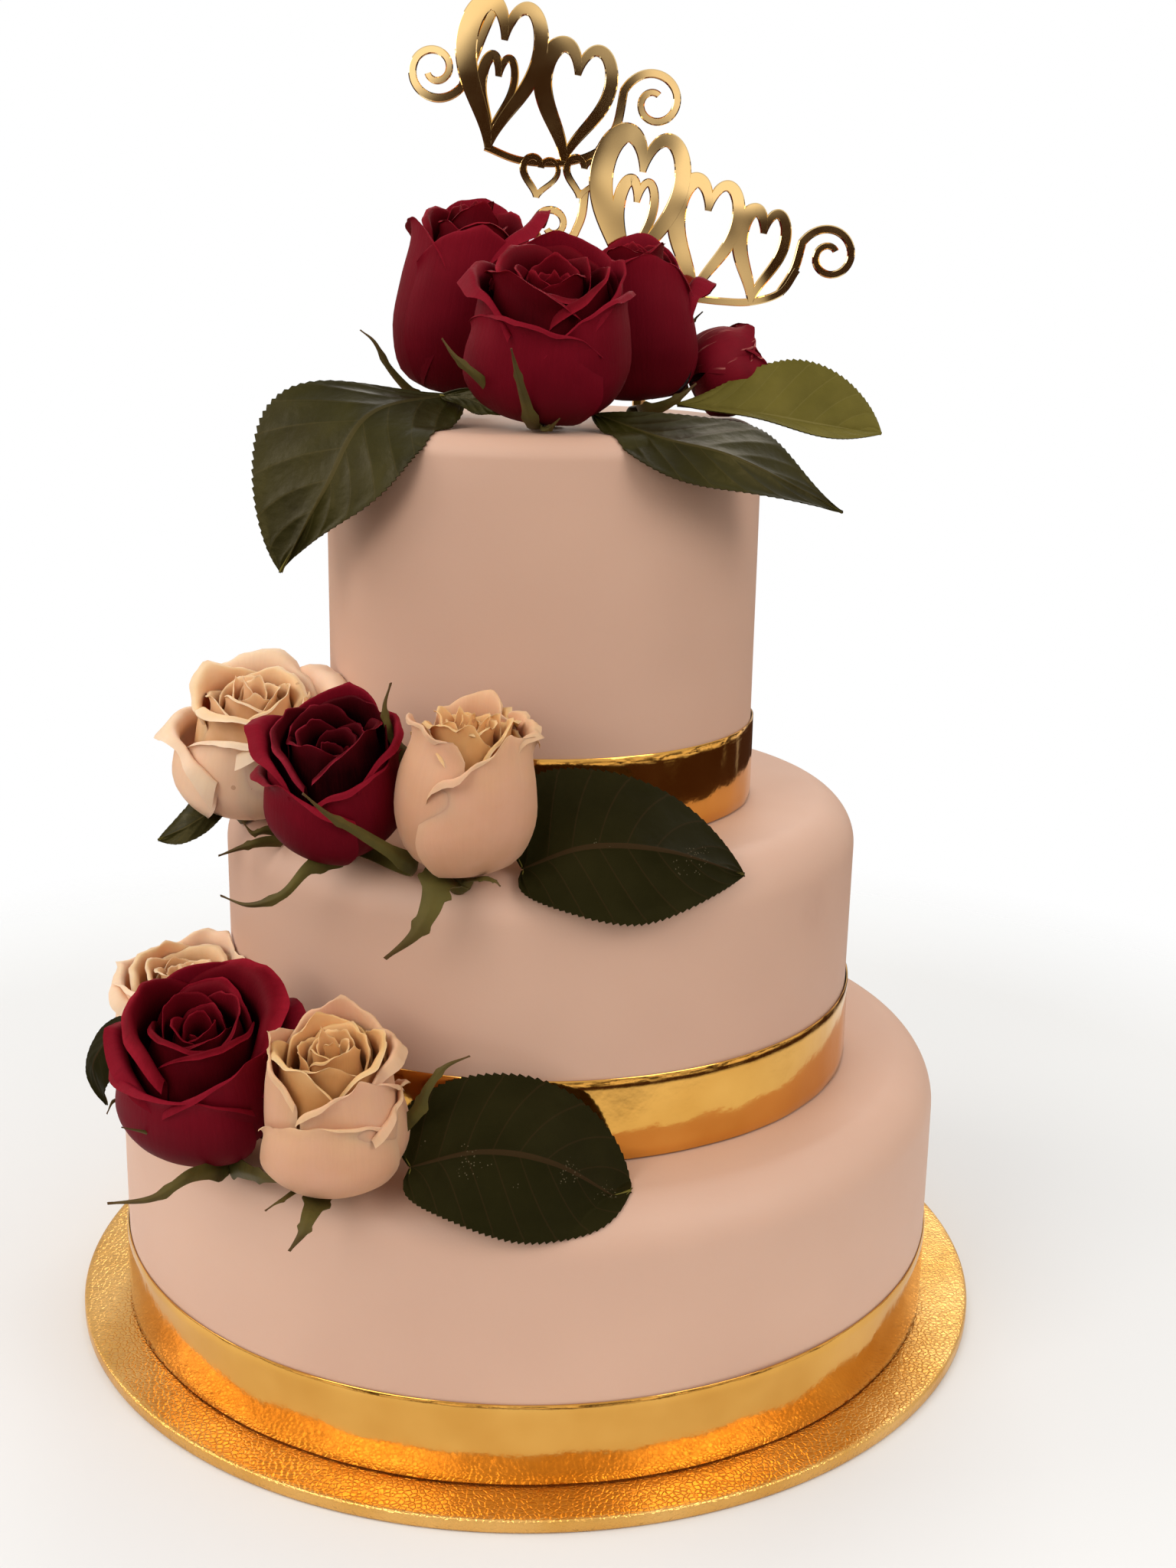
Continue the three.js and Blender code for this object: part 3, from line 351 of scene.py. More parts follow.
# Colours as red, green and blue; a pair runs from the darker tone to the lighter
# Icing tones are peach: part of the warm light's cast is painted into the ivory paste's colour
WARM_CAST_ICING_TONES = ((0.575, 0.362, 0.27), (0.63, 0.405, 0.302))
SMUDGE_COLOR = (0.42, 0.23, 0.17)
RIBBON_TONES = ((0.69, 0.35, 0.07), (0.79, 0.43, 0.10))
BOARD_TONES = ((0.72, 0.38, 0.085), (0.84, 0.50, 0.16))
TOPPER_TONES = ((0.88, 0.62, 0.28), (0.93, 0.70, 0.36))
CUP_TONES = ((0.045, 0.038, 0.009), (0.095, 0.08, 0.018))
SEPAL_TIP_COLOR = (0.07, 0.028, 0.014)
STREAK_COLOR = (0.5, 0.16, 0.14)
BRUISE_COLOR = (0.36, 0.14, 0.06)
FLECK_COLOR = (0.16, 0.13, 0.08)
FLOOR_TONES = ((0.74, 0.77, 0.80), (0.76, 0.79, 0.82))
BLACK = (0, 0, 0)
WHITE = (1, 1, 1)

# Petal colours from base to rim: share of the way up and colour; the dark low stops paint the shade between
# petals
RED = [(0.0, (0.045, 0.001, 0.003)), (0.5, (0.135, 0.003, 0.010)), (0.97, (0.21, 0.006, 0.017))]
# Heart petals: darkest deep down, painted shade between the rolled petals, lighter at the rim
RED_HEART_PAINTED_SHADE = [(0.45, (0.03, 0.0006, 0.002)), (0.88, (0.13, 0.0025, 0.008)), (1.0, (0.26, 0.008, 0.02))]
RED_TONES = {
    "dark_red_petal": RED,
    "dark_red_heart_painted_shade": RED_HEART_PAINTED_SHADE,
    "dark_red_outer": RED,
    # Hollow heart: painted near black as the shade inside it, with a painted pinkish highlight at the rim
    "dark_red_hollow_painted_shade": [(0.6, (0.008, 0.0003, 0.0008)), (0.93, (0.085, 0.002, 0.006)),
                        (1.0, (0.26, 0.014, 0.03))],
    "dark_red_bud_painted_shade": RED_HEART_PAINTED_SHADE,
}
CREAM_TONES = {
    "cream_petal": [(0.0, (0.50, 0.26, 0.135)), (0.4, (0.60, 0.315, 0.19)), (0.97, (0.72, 0.44, 0.25))],
    # Cream hearts: the deep apricot is partly the flower's own tone and partly painted shade between the
    # petals
    "cream_heart_painted_shade": [(0.45, (0.40, 0.16, 0.035)), (0.85, (0.68, 0.38, 0.15)), (1.0, (0.80, 0.52, 0.27))],
    "pale_petal": [(0.0, (0.70, 0.42, 0.26)), (0.4, (0.80, 0.50, 0.33)), (0.97, (0.88, 0.64, 0.44))],
    "pale_heart_painted_shade": [(0.45, (0.55, 0.26, 0.09)), (0.85, (0.80, 0.52, 0.28)), (1.0, (0.90, 0.66, 0.44))],
}

# Colour of the blushed patches of each cream petal
BLUSHES = {
    "cream_petal": (0.65, 0.355, 0.24),
    "cream_heart_painted_shade": (0.76, 0.44, 0.20),
    "pale_petal": (0.84, 0.55, 0.40),
    "pale_heart_painted_shade": (0.86, 0.58, 0.36),
}

# Rose looks: slot, and materials of the outer petals and of the heart
ROSE_LOOKS = {
    "red": ("dark_red_petal", "dark_red_petal", "dark_red_heart_painted_shade"),
    "hollow": ("dark_red_petal", "dark_red_outer", "dark_red_hollow_painted_shade"),
    "streaked": ("dark_red_petal", "streaked_petal", "dark_red_bud_painted_shade"),
    "cream": ("cream_petal", "cream_petal", "cream_heart_painted_shade"),
    "pale": ("cream_petal", "pale_petal", "pale_heart_painted_shade"),
}

# Leaf looks: tones of the blade, colour of the veins, roughness, shine and its tint, and share of dust
LEAF_LOOKS = {
    "glossy": dict(name="leaf_top_side", tones=((0.009, 0.0085, 0.0015), (0.026, 0.0235, 0.004)),
                   vein=(0.06, 0.045, 0.014), rough=0.4, shine=0.22, tint=(1.0, 0.8, 0.36), flecks=0),
    # The dark look is a matte copy of the glossy leaf; its darker tones are painted shade
    "dark": dict(name="leaf_painted_shade_side", tones=((0.0085, 0.008, 0.0016), (0.014, 0.0125, 0.003)),
                 vein=(0.045, 0.022, 0.01), rough=0.62, shine=0.08, tint=(1.0, 0.8, 0.4), flecks=0.5),
    "under": dict(name="leaf_underside", tones=((0.10, 0.085, 0.014), (0.15, 0.125, 0.024)),
                  vein=(0.19, 0.16, 0.05), rough=0.55, shine=0.1, tint=(1.0, 0.9, 0.6), flecks=0),
}

# Faint smudge on the icing of the middle tier, in metres
SMUDGE_PLACE = (0.100, -0.071, 0.178)

# Studio, in metres and watts: floor, aim of the lights, and each light's place, size, power and colour
FLOOR_RADIUS = 0.6
FLOOR_DROP = 0.0002
LIGHT_AIM = (0, 0, 0.24)
LIGHTS = {
    "key": ((0.95, -0.85, 1.05), (0.7, 0.7), 6.8, (1.0, 0.94, 0.87)),
    "fill": ((-0.95, -1.15, 1.05), (0.9, 0.9), 9.6, (1.0, 0.94, 0.87)),
    "left": ((-1.7, 0.1, 1.0), (0.9, 0.9), 9.0, (1.0, 0.93, 0.86)),
    "rim": ((0.3, 1.5, 1.4), (1.2, 0.6), 8.0, (1.0, 0.95, 0.88)),
}

# Room: colours from low to high, those of the patches near the horizon, and what the camera sees behind all
SKY = [(0.47, (0.07, 0.03, 0.016)), (0.62, (1.0, 0.97, 0.93))]
CLUTTER = [(0.44, (0.04, 0.018, 0.008)), (0.54, (1.5, 1.35, 1.15))]
BACKDROP = (1.25, 1.25, 1.25)
ROOM_STRENGTH = 0.8

# Camera of the photograph, in millimetres and radians
CAMERA_PLACE = (0.0, -712.5, 399.2)
CAMERA_YAW = 0.02893
CAMERA_DOWN = 0.26733
CAMERA_ROLL = 0.01946
CAMERA_LENS = 43.95
SENSOR_WIDTH = 36.0


def smooth(t):
    """Eased step from 0 to 1."""
    t = np.clip(t, 0, 1)
    return t * t * (3 - 2 * t)


def lerp(a, b, t):
    return a + (b - a) * t


def unit(vectors):
    """Vectors scaled to a length of 1."""
    return vectors / np.maximum(np.linalg.norm(vectors, axis=-1, keepdims=True), TINY)


def around(steps):
    """Evenly spaced angles of a full circle."""
    return np.linspace(0, 2 * math.pi, steps, endpoint=False)


def polar(x, y, radius, angle, z):
    """Points at a radius and an angle round a place."""
    return np.stack([x + radius * np.cos(angle), y + radius * np.sin(angle), z], axis=-1)


def pairs(across, along):
    """Grid of (across, along) pairs, for UVs."""
    return np.stack(np.meshgrid(across, along), axis=-1)


def waves(terms, u, phase):
    """Sum of sine waves."""
    return sum(size * np.sin(rate * u + share * phase) for size, rate, share in terms)


def noise_at(index, salt):
    """A repeatable number from 0 to 1, from the far digits of a sine."""
    value = math.sin(index * 12.9898 + salt * 78.233) * 43758.5453
    return value - math.floor(value)


def through(values, t):
    """Smooth curve through a short list of values or points, for an array of t from 0 to 1."""
    knots = np.asarray(values, float)
    knots = np.concatenate([[2 * knots[0] - knots[1]], knots, [2 * knots[-1] - knots[-2]]])
    place = np.clip(np.asarray(t, float), 0, 1) * (len(values) - 1)
    i = np.minimum(place.astype(int), len(values) - 2)
    f = place - i
    if knots.ndim > 1:
        f = f[..., None]
    a, b, c, d = knots[i], knots[i + 1], knots[i + 2], knots[i + 3]
    cubic = (-a + 3 * b - 3 * c + d) * f
    return 0.5 * (2 * b + ((cubic + 2 * a - 5 * b + 4 * c - d) * f - a + c) * f)


def clear_of_tiers(points, space):
    """Moves points out of the tiers and ribbons, to at least a given clear space."""
    out = np.array(points, float)
    for spec in TIERS.values():
        dx = out[..., 0] - spec["x"]
        dy = out[..., 1] - spec["y"]
        z = out[..., 2]
        r = np.maximum(np.hypot(dx, dy), TINY)
        band_top = spec["low"] + RIBBON_LIFT + RIBBON_WIDTH
        band = (RIBBON_GAP + RIBBON_THICKNESS) * (1 - smooth((z - band_top) / RIBBON_EASE))
        core_r = spec["radius"] + band - spec["shoulder"]
        core_z = spec["top"] - spec["shoulder"]
        over_r = np.maximum(r - core_r, 0)
        over_z = np.maximum(z - core_z, 0)
        outside = np.hypot(over_r, over_z)
        deep = np.minimum(core_r - r, core_z - z)
        distance = np.where(outside > 0, outside, -deep) - spec["shoulder"]
        near = (z >= spec["low"] - 6) & (distance < space)
        push = np.where(near, space - distance, 0) / np.maximum(outside, TINY)
        inner = near & (outside <= 0)
        scale = np.where(inner, 0, push * over_r / r)
        out[..., 0] += dx * scale
        out[..., 1] += dy * scale
        out[..., 2] = np.where(inner, spec["top"] + space, z + push * over_z)
    return out


class Mesh:
    """Collects grids of points as one mesh, with a UV and a material number for each face."""

    def __init__(self):
        self.points = []
        self.faces = []
        self.uvs = []
        self.slots = []
        self.count = 0

    def grid(self, points, uv, slot=0, flip=False, close=False):
        rows, cols = points.shape[:2]
        index = np.arange(rows * cols).reshape(rows, cols) + self.count
        if close:
            index = np.concatenate([index, index[:, :1]], axis=1)
            wrap = uv[:, :1].copy()
            wrap[..., 0] += 1
            uv = np.concatenate([uv, wrap], axis=1)
        quad = [index[:-1, :-1], index[:-1, 1:], index[1:, 1:], index[1:, :-1]]
        corner_uv = [uv[:-1, :-1], uv[:-1, 1:], uv[1:, 1:], uv[1:, :-1]]
        if flip:
            quad = quad[::-1]
            corner_uv = corner_uv[::-1]
        self.faces.append(np.stack(quad, axis=-1).reshape(-1, 4))
        self.uvs.append(np.stack(corner_uv, axis=-2).reshape(-1, 2))
        self.slots.append(np.full(quad[0].size, slot))
        self.points.append(points.reshape(-1, 3))
        self.count += rows * cols

    def strip(self, edge, other, uv, slot=0, flip=False):
        """A closed strip of faces between two edges."""
        self.grid(np.stack([edge, other]), np.stack([uv, uv]), slot, flip, close=True)

    def sheet(self, points, uv, wall, slot, back):
        """A thin sheet: the given face, a second one behind it and the rim between them."""
        across = np.gradient(points, axis=1)
        along = np.gradient(points, axis=0)
        behind = points - unit(np.cross(across, along)) * wall
        self.grid(points, uv, slot)
        self.grid(behind, uv, back, flip=True)
        rim, rim_back, rim_uv = [
            np.concatenate([part[0], part[1:, -1], part[-1, -2::-1], part[-2:0:-1, 0]])
            for part in (points, behind, uv)
        ]
        self.strip(rim, rim_back, rim_uv, slot, flip=True)

    def build(self, name, materials, nodes, soft=True):
        points = np.concatenate(self.points) * MM
        faces = np.concatenate(self.faces)
        data = bpy.data.meshes.new(name)
        data.from_pydata(points.tolist(), [], faces.tolist())
        layer = data.uv_layers.new(name="Surface")
        layer.data.foreach_set("uv", np.concatenate(self.uvs).astype(np.float32).ravel())
        for material in materials:
            data.materials.append(material)
        data.polygons.foreach_set("material_index", np.concatenate(self.slots).astype(np.int32))
        data.polygons.foreach_set("use_smooth", np.full(len(faces), soft))
        data.update()
        piece = bpy.data.objects.new(name, data)
        bpy.context.scene.collection.objects.link(piece)
        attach(piece, "root")
        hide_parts(*nodes)
        return piece


def flower_axes(spec):
    """Base, axis, front and side directions, and height of a flower."""
    base = np.array(spec["base"], float)
    stem = np.array(spec["tip"], float) - base
    axis = unit(stem)
    front = np.array([0.0, -1.0, 0.0])
    front = unit(front - axis * front.dot(axis))
    return base, axis, front, np.cross(axis, front), np.linalg.norm(stem)


def flower_points(axes, angle, radius, z):
    base, axis, front, side, _ = axes
    x = (radius * np.cos(angle))[..., None]
    y = (radius * np.sin(angle))[..., None]
    return base + x * front + y * side + z[..., None] * axis


def turned(axes, profile, radius, height):
    """Grid of points and UVs of a profile turned round a flower's axis."""
    angle, share = np.meshgrid(around(STALK_STEPS), np.array(profile)[:, 0])
    rise = np.array(profile)[:, 1:] * np.ones((1, STALK_STEPS))
    uv = pairs(np.linspace(0, 1, STALK_STEPS), np.linspace(0, 1, len(profile)))
    return flower_points(axes, angle, radius * share, height * rise), uv


def outer_petals(spec):
    """Outer petals; those further in are a little smaller."""
    last = len(spec["outer"]) - 1
    return [{**entry, "reach": entry["reach"] * (1 - 0.045 * (last - k))}
            for k, entry in enumerate(spec["outer"])]


def inner_petal(spec, index):
    """Petal of the rolled bud: index 0 is the heart."""
    t = index / (INNER_PETALS - 1)
    salt = spec["radius"] + spec["turn"]
    return dict(
        turn=spec["turn"] - index * TURN_STEP + 40 * (noise_at(index, salt + 11) - 0.5),
        tall=lerp(spec["heart"], 0.95, t) * (1 - 0.1 * noise_at(index, salt + 3)),
        reach=(0.18 + 0.62 * t ** 0.85) * (1 - 0.05 * noise_at(index, salt)),
        spread=lerp(130, 72, t ** 0.7),
        close=lerp(0.66, 0.86 + 0.12 * spec["open"], t),
        lip=(0.03 + 0.24 * spec["open"] * t ** 2) * 2 * noise_at(index, salt + 1),
        roll=0.01 + 0.12 * spec["open"] * t ** 2 * noise_at(index, salt + 5),
        curl=0.08 * t * spec["open"],
        point=0.02,
        skew=0.05 * (noise_at(index, salt + 7) - 0.5),
    )


def petal_place(spec, petal, height, u, v):
    """Radius, height and angle of a petal at u (across, -1 to 1) and v (base to rim)."""
    bend = PETAL_REACH + [petal["close"]] * 3
    uneven = 0.7 + 0.5 * np.sin(3.1 * u + petal["phase"])
    corner = 0.13 * u ** 2 + 0.1 * u ** 4 + 1.3 * petal["point"] * np.abs(u) - petal["skew"] * u
    cusp = petal["point"] * v ** 6 * np.maximum(0, 1 - 3 * np.abs(u))
    rise = through(PETAL_RISE, v) - petal["roll"] * uneven * through(PETAL_ROLL, v)
    rise = height * petal["tall"] * (rise - smooth(v) * corner + cusp)
    lip = petal["lip"] * (0.5 + 0.5 * uneven) * (1 - 0.5 * u ** 2) * through(PETAL_FLARE, v)
    curl = petal["curl"] * u ** 4 * smooth((v - 0.6) / 0.4)
    radius = spec["radius"] * petal["reach"] * (through(bend, v) + lip + curl)
    spread = math.radians(petal["spread"]) * (0.62 + 0.38 * smooth(v / 0.45))
    return radius, rise, math.radians(petal["turn"]) + u * spread


def petal_sheet(mesh, spec, axes, petal, look):
    """One thin petal with a waved, folded and nicked rim; a petal further out waves more."""
    u, v = np.meshgrid(np.linspace(-1, 1, PETAL_ACROSS), np.linspace(0, 1, PETAL_ALONG) ** 0.9)
    v = 0.03 + 0.97 * v
    radius, rise, angle = petal_place(spec, petal, axes[4], u, v)
    phase = petal["phase"]
    freedom = 0.3 + 0.7 * petal["reach"]
    ruffle = spec["ruffle"] * smooth((v - 0.5) / 0.5)
    fold = 0.45 * np.sin(2.6 * u + 5 * v + phase) * smooth(v / 0.3)
    nick = np.sin(19 * u + 4 * phase) * np.sin(7 * u + phase)
    nick = 0.3 * spec["ruffle"] * smooth((v - 0.84) / 0.16) * nick
    radius = radius + freedom * (ruffle * waves(OUTWARD_WAVES, u, phase) + fold) + nick
    rise = rise + ruffle * waves(UPWARD_WAVES, u, phase) + 1.4 * nick
    points = clear_of_tiers(flower_points(axes, angle, radius, rise), PETAL_SPACE)
    edge = np.maximum(smooth((v - 0.7) / 0.3), smooth((np.abs(u) - 0.75) / 0.25))
    wall = lerp(PETAL_WALL, PETAL_RIM_WALL, edge)[..., None]
    mesh.sheet(points, np.stack([0.5 + 0.5 * u, v], axis=-1), wall, look, look)


def rose(name, spec, materials):
    """Rolled bud and outer petals round a closed core."""
    axes = flower_axes(spec)
    height = axes[4]
    mesh = Mesh()
    petals = [inner_petal(spec, index) for index in range(INNER_PETALS)] + outer_petals(spec)
    for index, petal in enumerate(petals):
        petal["phase"] = FULL_TURN * noise_at(index, 2.7 + spec["radius"])
        petal_sheet(mesh, spec, axes, petal, HEART_LOOK if index < INNER_PETALS else OUTER_LOOK)
    core = 0.72 * petal_place(spec, petals[0], height, 0.0, 0.5)[0]
    mesh.grid(*turned(axes, CORE_PROFILE, core, height * spec["heart"]), HEART_LOOK, flip=True, close=True)
    # Inner petals take the heart material, which paints shade deep between them
    slot, outer, inner = ROSE_LOOKS[spec["look"]]
    return mesh.build(name + "_petals", [materials[outer], materials[inner]], [name])


def blade_points(rib, left, right, width, along, across, wall, wave):
    """Middle surface of a leaf or sepal, from its midrib and the reach of each half, and its UVs."""
    s = np.linspace(0, 1, along)
    t = np.linspace(-1, 1, across)
    middle = through(rib, s)[:, None, :]
    reach = np.where((t < 0)[None, :, None], left[:, None, :], right[:, None, :])
    spread = (np.abs(t)[None, :] * width(s[:, None], t[None, :]))[..., None]
    points = middle + reach * spread
    normal = unit(np.cross(np.gradient(points, axis=0), np.gradient(points, axis=1)))
    lifted = points + normal * wave(s[:, None], t[None, :])[..., None]
    return clear_of_tiers(lifted, 0.5 * wall + BLADE_SPACE), pairs(0.5 + 0.5 * t, s)


def leaf_width(widest, foot, teeth):
    """Width of a leaf's half along it, from 0 to 1, with saw teeth at its edge."""
    def width(s, t):
        side = np.where(s < widest, s / widest, (1 - s) / (1 - widest))
        power = np.where(s < widest, foot, 0.9)
        full = np.maximum(np.sin(side * math.pi / 2) ** power, 0.03)
        tooth = 0.5 - (s * teeth) % 1.0
        serration = TOOTH_DEPTH * tooth * smooth((np.abs(t) - 0.82) / 0.18) * smooth(full * 3)
        return full * (1 + serration)
    return width


def leaf(name, spec, materials):
    """Leaf blade that waves and bulges between its veins, with a groove along the midrib."""
    size = np.linalg.norm(spec["left"][1]) + np.linalg.norm(spec["right"][1])
    detail = SMALL_LEAF if size < SMALL_WIDTH else LARGE_LEAF
    along = detail["along"]
    shape = leaf_width(spec["widest"], spec["foot"], detail["teeth"])

    def wave(s, t):
        low = np.sin(9 * s + 2.2 * t) * LEAF_WAVE * np.abs(t) * shape(s, 0 * t)
        vein = (s * detail["veins"] - np.abs(t) * 2.0 * (1 - 0.35 * s)) % 1.0
        inside = smooth(np.abs(t) / 0.25) * smooth((1 - np.abs(t)) / 0.2)
        quilt = np.abs(np.sin(math.pi * vein)) ** 0.6 * inside
        groove = -np.exp(-(np.abs(t) * size / 2 / 0.9) ** 2)
        return low + detail["relief"] * (quilt + 1.2 * groove * (1 - 0.6 * s))

    share = np.linspace(0, 1, along)
    lefts = through(spec["left"], share)
    rights = through(spec["right"], share)
    points, uv = blade_points(spec["rib"], lefts, rights, shape, along, detail["across"], LEAF_WALL, wave)
    mesh = Mesh()
    mesh.sheet(points, uv, LEAF_WALL, TOP_LOOK, UNDER_LOOK)
    return mesh.build(name + "_blade", [materials[spec["look"]], materials["under"]], [name])


def sepal(mesh, path, outward, half):
    """Narrow sepal with small side lobes, along a path of points."""
    reach = half * unit(np.cross(np.array(path[-1]) - np.array(path[1]), outward))

    def width(s, t):
        body = 0.07 + (0.4 + 0.6 * smooth(s / 0.2)) * (1 - s) ** 1.1
        lobes = 0.45 * np.maximum(0, np.sin(19 * s + 1.3)) ** 4 * smooth((np.abs(t) - 0.5) / 0.5)
        return body * (1 + lobes)

    def wave(s, t):
        return 0.9 * np.abs(t) ** 1.5 * np.sin(math.pi * s)

    rights = np.repeat(reach[None, :], SEPAL_ALONG, axis=0)
    points, uv = blade_points(path, -rights, rights, width, SEPAL_ALONG, SEPAL_ACROSS, SEPAL_WALL, wave)
    mesh.sheet(points, uv, SEPAL_WALL, 0, 0)


def calyx(name, spec, material):
    """Green cup under a rose, with its sepals."""
    axes = flower_axes(spec)
    size = max(SMALLEST_CUP, spec["radius"] * 0.2)
    cup, uv = turned(axes, CUP_PROFILE, size, size)
    mesh = Mesh()
    mesh.grid(clear_of_tiers(cup, CUP_SPACE), uv, 0, flip=True, close=True)
    root = axes[0] - 0.8 * size * axes[1]
    for path, half in SEPALS[name]:
        inside = root + 0.1 * (np.array(path[0]) - root)
        outward = np.array(path[1], float) - axes[0] + (0, 0, 8)
        sepal(mesh, [inside] + path, outward, half)
    node = name.replace("rose", "calyx")
    return mesh.build(node + "_green", [material], [node])


def lathe(profile, x, y, steps, wobble=None):
    """Grid of points and UVs of a turned profile of (radius, height) pairs."""
    profile = np.asarray(profile, float)
    angle, z = np.meshgrid(around(steps), profile[:, 1])
    radius = profile[:, :1] + (0 if wobble is None else wobble(angle, z))
    radius = np.maximum(radius, 0.01)
    points = polar(x, y, radius, angle, z)
    return points, pairs(np.arange(steps) / steps, np.linspace(0, 1, len(profile)))


def tier(name, material, x, y, radius, low, top, shoulder):
    """Straight fondant wall with a softly rounded shoulder, a little uneven as rolled icing is."""
    profile = [(0.01, low), (radius * 0.5, low), (radius - 1, low), (radius, low + 1)]
    profile += [(radius, lerp(low + 1, top - shoulder, t)) for t in np.linspace(0.08, 1, 12)]
    for angle in np.linspace(0.06, 1, 16) * math.pi / 2:
        profile.append((radius - shoulder * (1 - math.cos(angle)), top - shoulder * (1 - math.sin(angle))))
    profile += [((radius - shoulder) * t, top) for t in np.linspace(0.92, 0.0, 12)]

    def wobble(angle, z):
        slow = np.sin(3 * angle + radius) + 0.7 * np.sin(5 * angle + 0.03 * z + 2)
        return ICING_WOBBLE * smooth((z - low) / 20) * (slow + 0.5 * np.sin(9 * angle + 0.05 * z))

    mesh = Mesh()
    mesh.grid(*lathe(profile, x, y, TIER_STEPS, wobble), close=True)
    return mesh.build("tier_" + name + "_icing", [material], ["tier_" + name])


def ribbon(name, spec, material):
    """Foil ribbon round the foot of a tier, slightly rippled, with its end lapped over at the back."""
    low = spec["low"] + RIBBON_LIFT
    high = low + RIBBON_WIDTH
    inner = spec["radius"] + RIBBON_GAP
    heights = np.concatenate([[low], np.linspace(low + 0.25, high - 0.25, 9), [high]])
    angle, z = np.meshgrid(around(RIBBON_STEPS), heights)
    share = (z - low) / RIBBON_WIDTH
    ripple = 0.05 * np.sin(7 * angle + spec["radius"]) + 0.09 * np.sin(13 * angle + 2.5 * share)
    ripple = ripple + 0.05 * np.sin(31 * angle - 4 * share)
    edge = np.where((share < 0.005) | (share > 0.995), -0.2, 0)
    from_seam = np.abs((angle - math.radians(RIBBON_SEAM) + math.pi) % (2 * math.pi) - math.pi)
    lap = RIBBON_LAP * smooth(1 - from_seam / 0.02)

    uv = pairs(np.arange(RIBBON_STEPS) / RIBBON_STEPS, (heights - low) / RIBBON_WIDTH)
    front = polar(spec["x"], spec["y"], inner + 0.55 + ripple + edge + lap, angle, z)
    back = polar(spec["x"], spec["y"], inner + 0.05, angle, z)
    mesh = Mesh()
    mesh.grid(front, uv, close=True)
    mesh.grid(back, uv, flip=True, close=True)
    mesh.strip(front[-1], back[-1], uv[-1])
    mesh.strip(back[0], front[0], uv[0])
    return mesh.build("ribbon_" + name + "_foil", [material], ["ribbon_" + name])


def board(material):
    """Foil board with softened edges."""
    r = BOARD_RADIUS
    h = BOARD_THICKNESS
    profile = [(0.01, 0), (r * 0.5, 0), (r - 0.9, 0), (r - 0.3, 0.25), (r, 0.9), (r, h / 2), (r, h - 0.9),
               (r - 0.3, h - 0.25), (r - 0.9, h)]
    profile += [(r * t, h) for t in (0.985, 0.96, 0.93, 0.9, 0.87, 0.8, 0.5, 0.0)]
    mesh = Mesh()
    mesh.grid(*lathe(profile, 0, 0, TIER_STEPS), close=True)
    return mesh.build("board_foil", [material], ["board"])


def scroll(tail, x, z, outer, inner, start, end):
    """Tail that runs into a curl winding inwards."""
    t = np.linspace(0, 1, 90)
    angle = np.radians(lerp(start, end, t))
    radius = lerp(outer, inner, t ** 0.8)
    curl = np.stack([x + radius * np.cos(angle), z + radius * np.sin(angle)], axis=-1)
    tail = through(tail + [tuple(curl[0])], np.linspace(0, 1, 24))
    return np.concatenate([tail[:-1], curl])


def heart(tip, width, height):
    """Outline of a heart, closed at its tip."""
    angle = np.linspace(0, 2 * math.pi, 2 * HEART_STEPS - 1)
    x = width / 2 * np.sin(angle) ** 3
    z = 17 + 13 * np.cos(angle) - 5 * np.cos(2 * angle) - 2 * np.cos(3 * angle) - np.cos(4 * angle)
    z = z * height / 29
    lean = math.radians(HEART_LEAN)
    return np.stack([tip[0] + x * math.cos(lean) - z * math.sin(lean),
                     tip[1] + x * math.sin(lean) + z * math.cos(lean)], axis=-1)


def stroke(mesh, path, width, wall):
    """Flat stroke of changing width with a small bevel on both faces."""
    path = np.asarray(path, float)
    tangent = unit(np.gradient(path, axis=0))
    normal = np.stack([-tangent[:, 1], tangent[:, 0]], axis=-1)
    w = 0.5 * np.asarray(width)[:, None]
    deep = 0.5 * wall
    flank = deep - TOPPER_BEVEL
    loop = [(1, -flank, 0), (1, -deep, TOPPER_BEVEL), (-1, -deep, TOPPER_BEVEL), (-1, -flank, 0),
            (-1, flank, 0), (-1, deep, TOPPER_BEVEL), (1, deep, TOPPER_BEVEL), (1, flank, 0)]
    rings = []
    for side, y, inset in loop:
        flat = path + side * normal * (w - inset)
        rings.append(np.stack([flat[:, 0], np.full(len(path), TOPPER_Y + y), flat[:, 1]], axis=-1))
    points = np.stack(rings, axis=1)
    uv = pairs(np.linspace(0, 1, len(loop)), np.linspace(0, 1, len(path)))
    mesh.grid(points, uv, close=True, flip=True)
    for end in (0, -1):
        centre = points[end].mean(axis=0)[None, :] * np.ones((len(loop), 1))
        mesh.strip(points[end], centre, uv[end], flip=end == -1)


def topper(material):
    """Hearts and scrolls; each stroke is a little thinner than the last, so that no two faces coincide."""
    strokes = []
    swell = np.sin(math.pi * np.linspace(0, 1, HEART_STEPS)) ** 1.5
    for tip, width, height, heavy in HEARTS:
        outline = heart(tip, width, height)
        strokes.append((outline[HEART_STEPS - 1:], lerp(TOPPER_THIN, heavy, swell)))
        strokes.append((outline[:HEART_STEPS], lerp(TOPPER_THIN, 0.7 * heavy, swell)))
    for line in BASE_LINES:
        path = through(line, np.linspace(0, 1, 60))
        strokes.append((path, np.full(len(path), TOPPER_THIN + 0.4)))
    for spec in SCROLLS:
        path = scroll(**spec)
        strokes.append((path, lerp(TOPPER_THIN + 1, TOPPER_THIN, np.linspace(0, 1, len(path)))))
    foot = TIERS["top"]["top"] + 0.3
    for x, z in STAKES:
        path = np.linspace((x, foot), (x, z), 9)
        strokes.append((path, np.full(len(path), STAKE_WIDTH)))
    mesh = Mesh()
    for k, (path, width) in enumerate(strokes):
        stroke(mesh, path, width, TOPPER_THICKNESS - STROKE_STEP * k)
    return mesh.build("topper_plate", [material], ["topper"], soft=False)


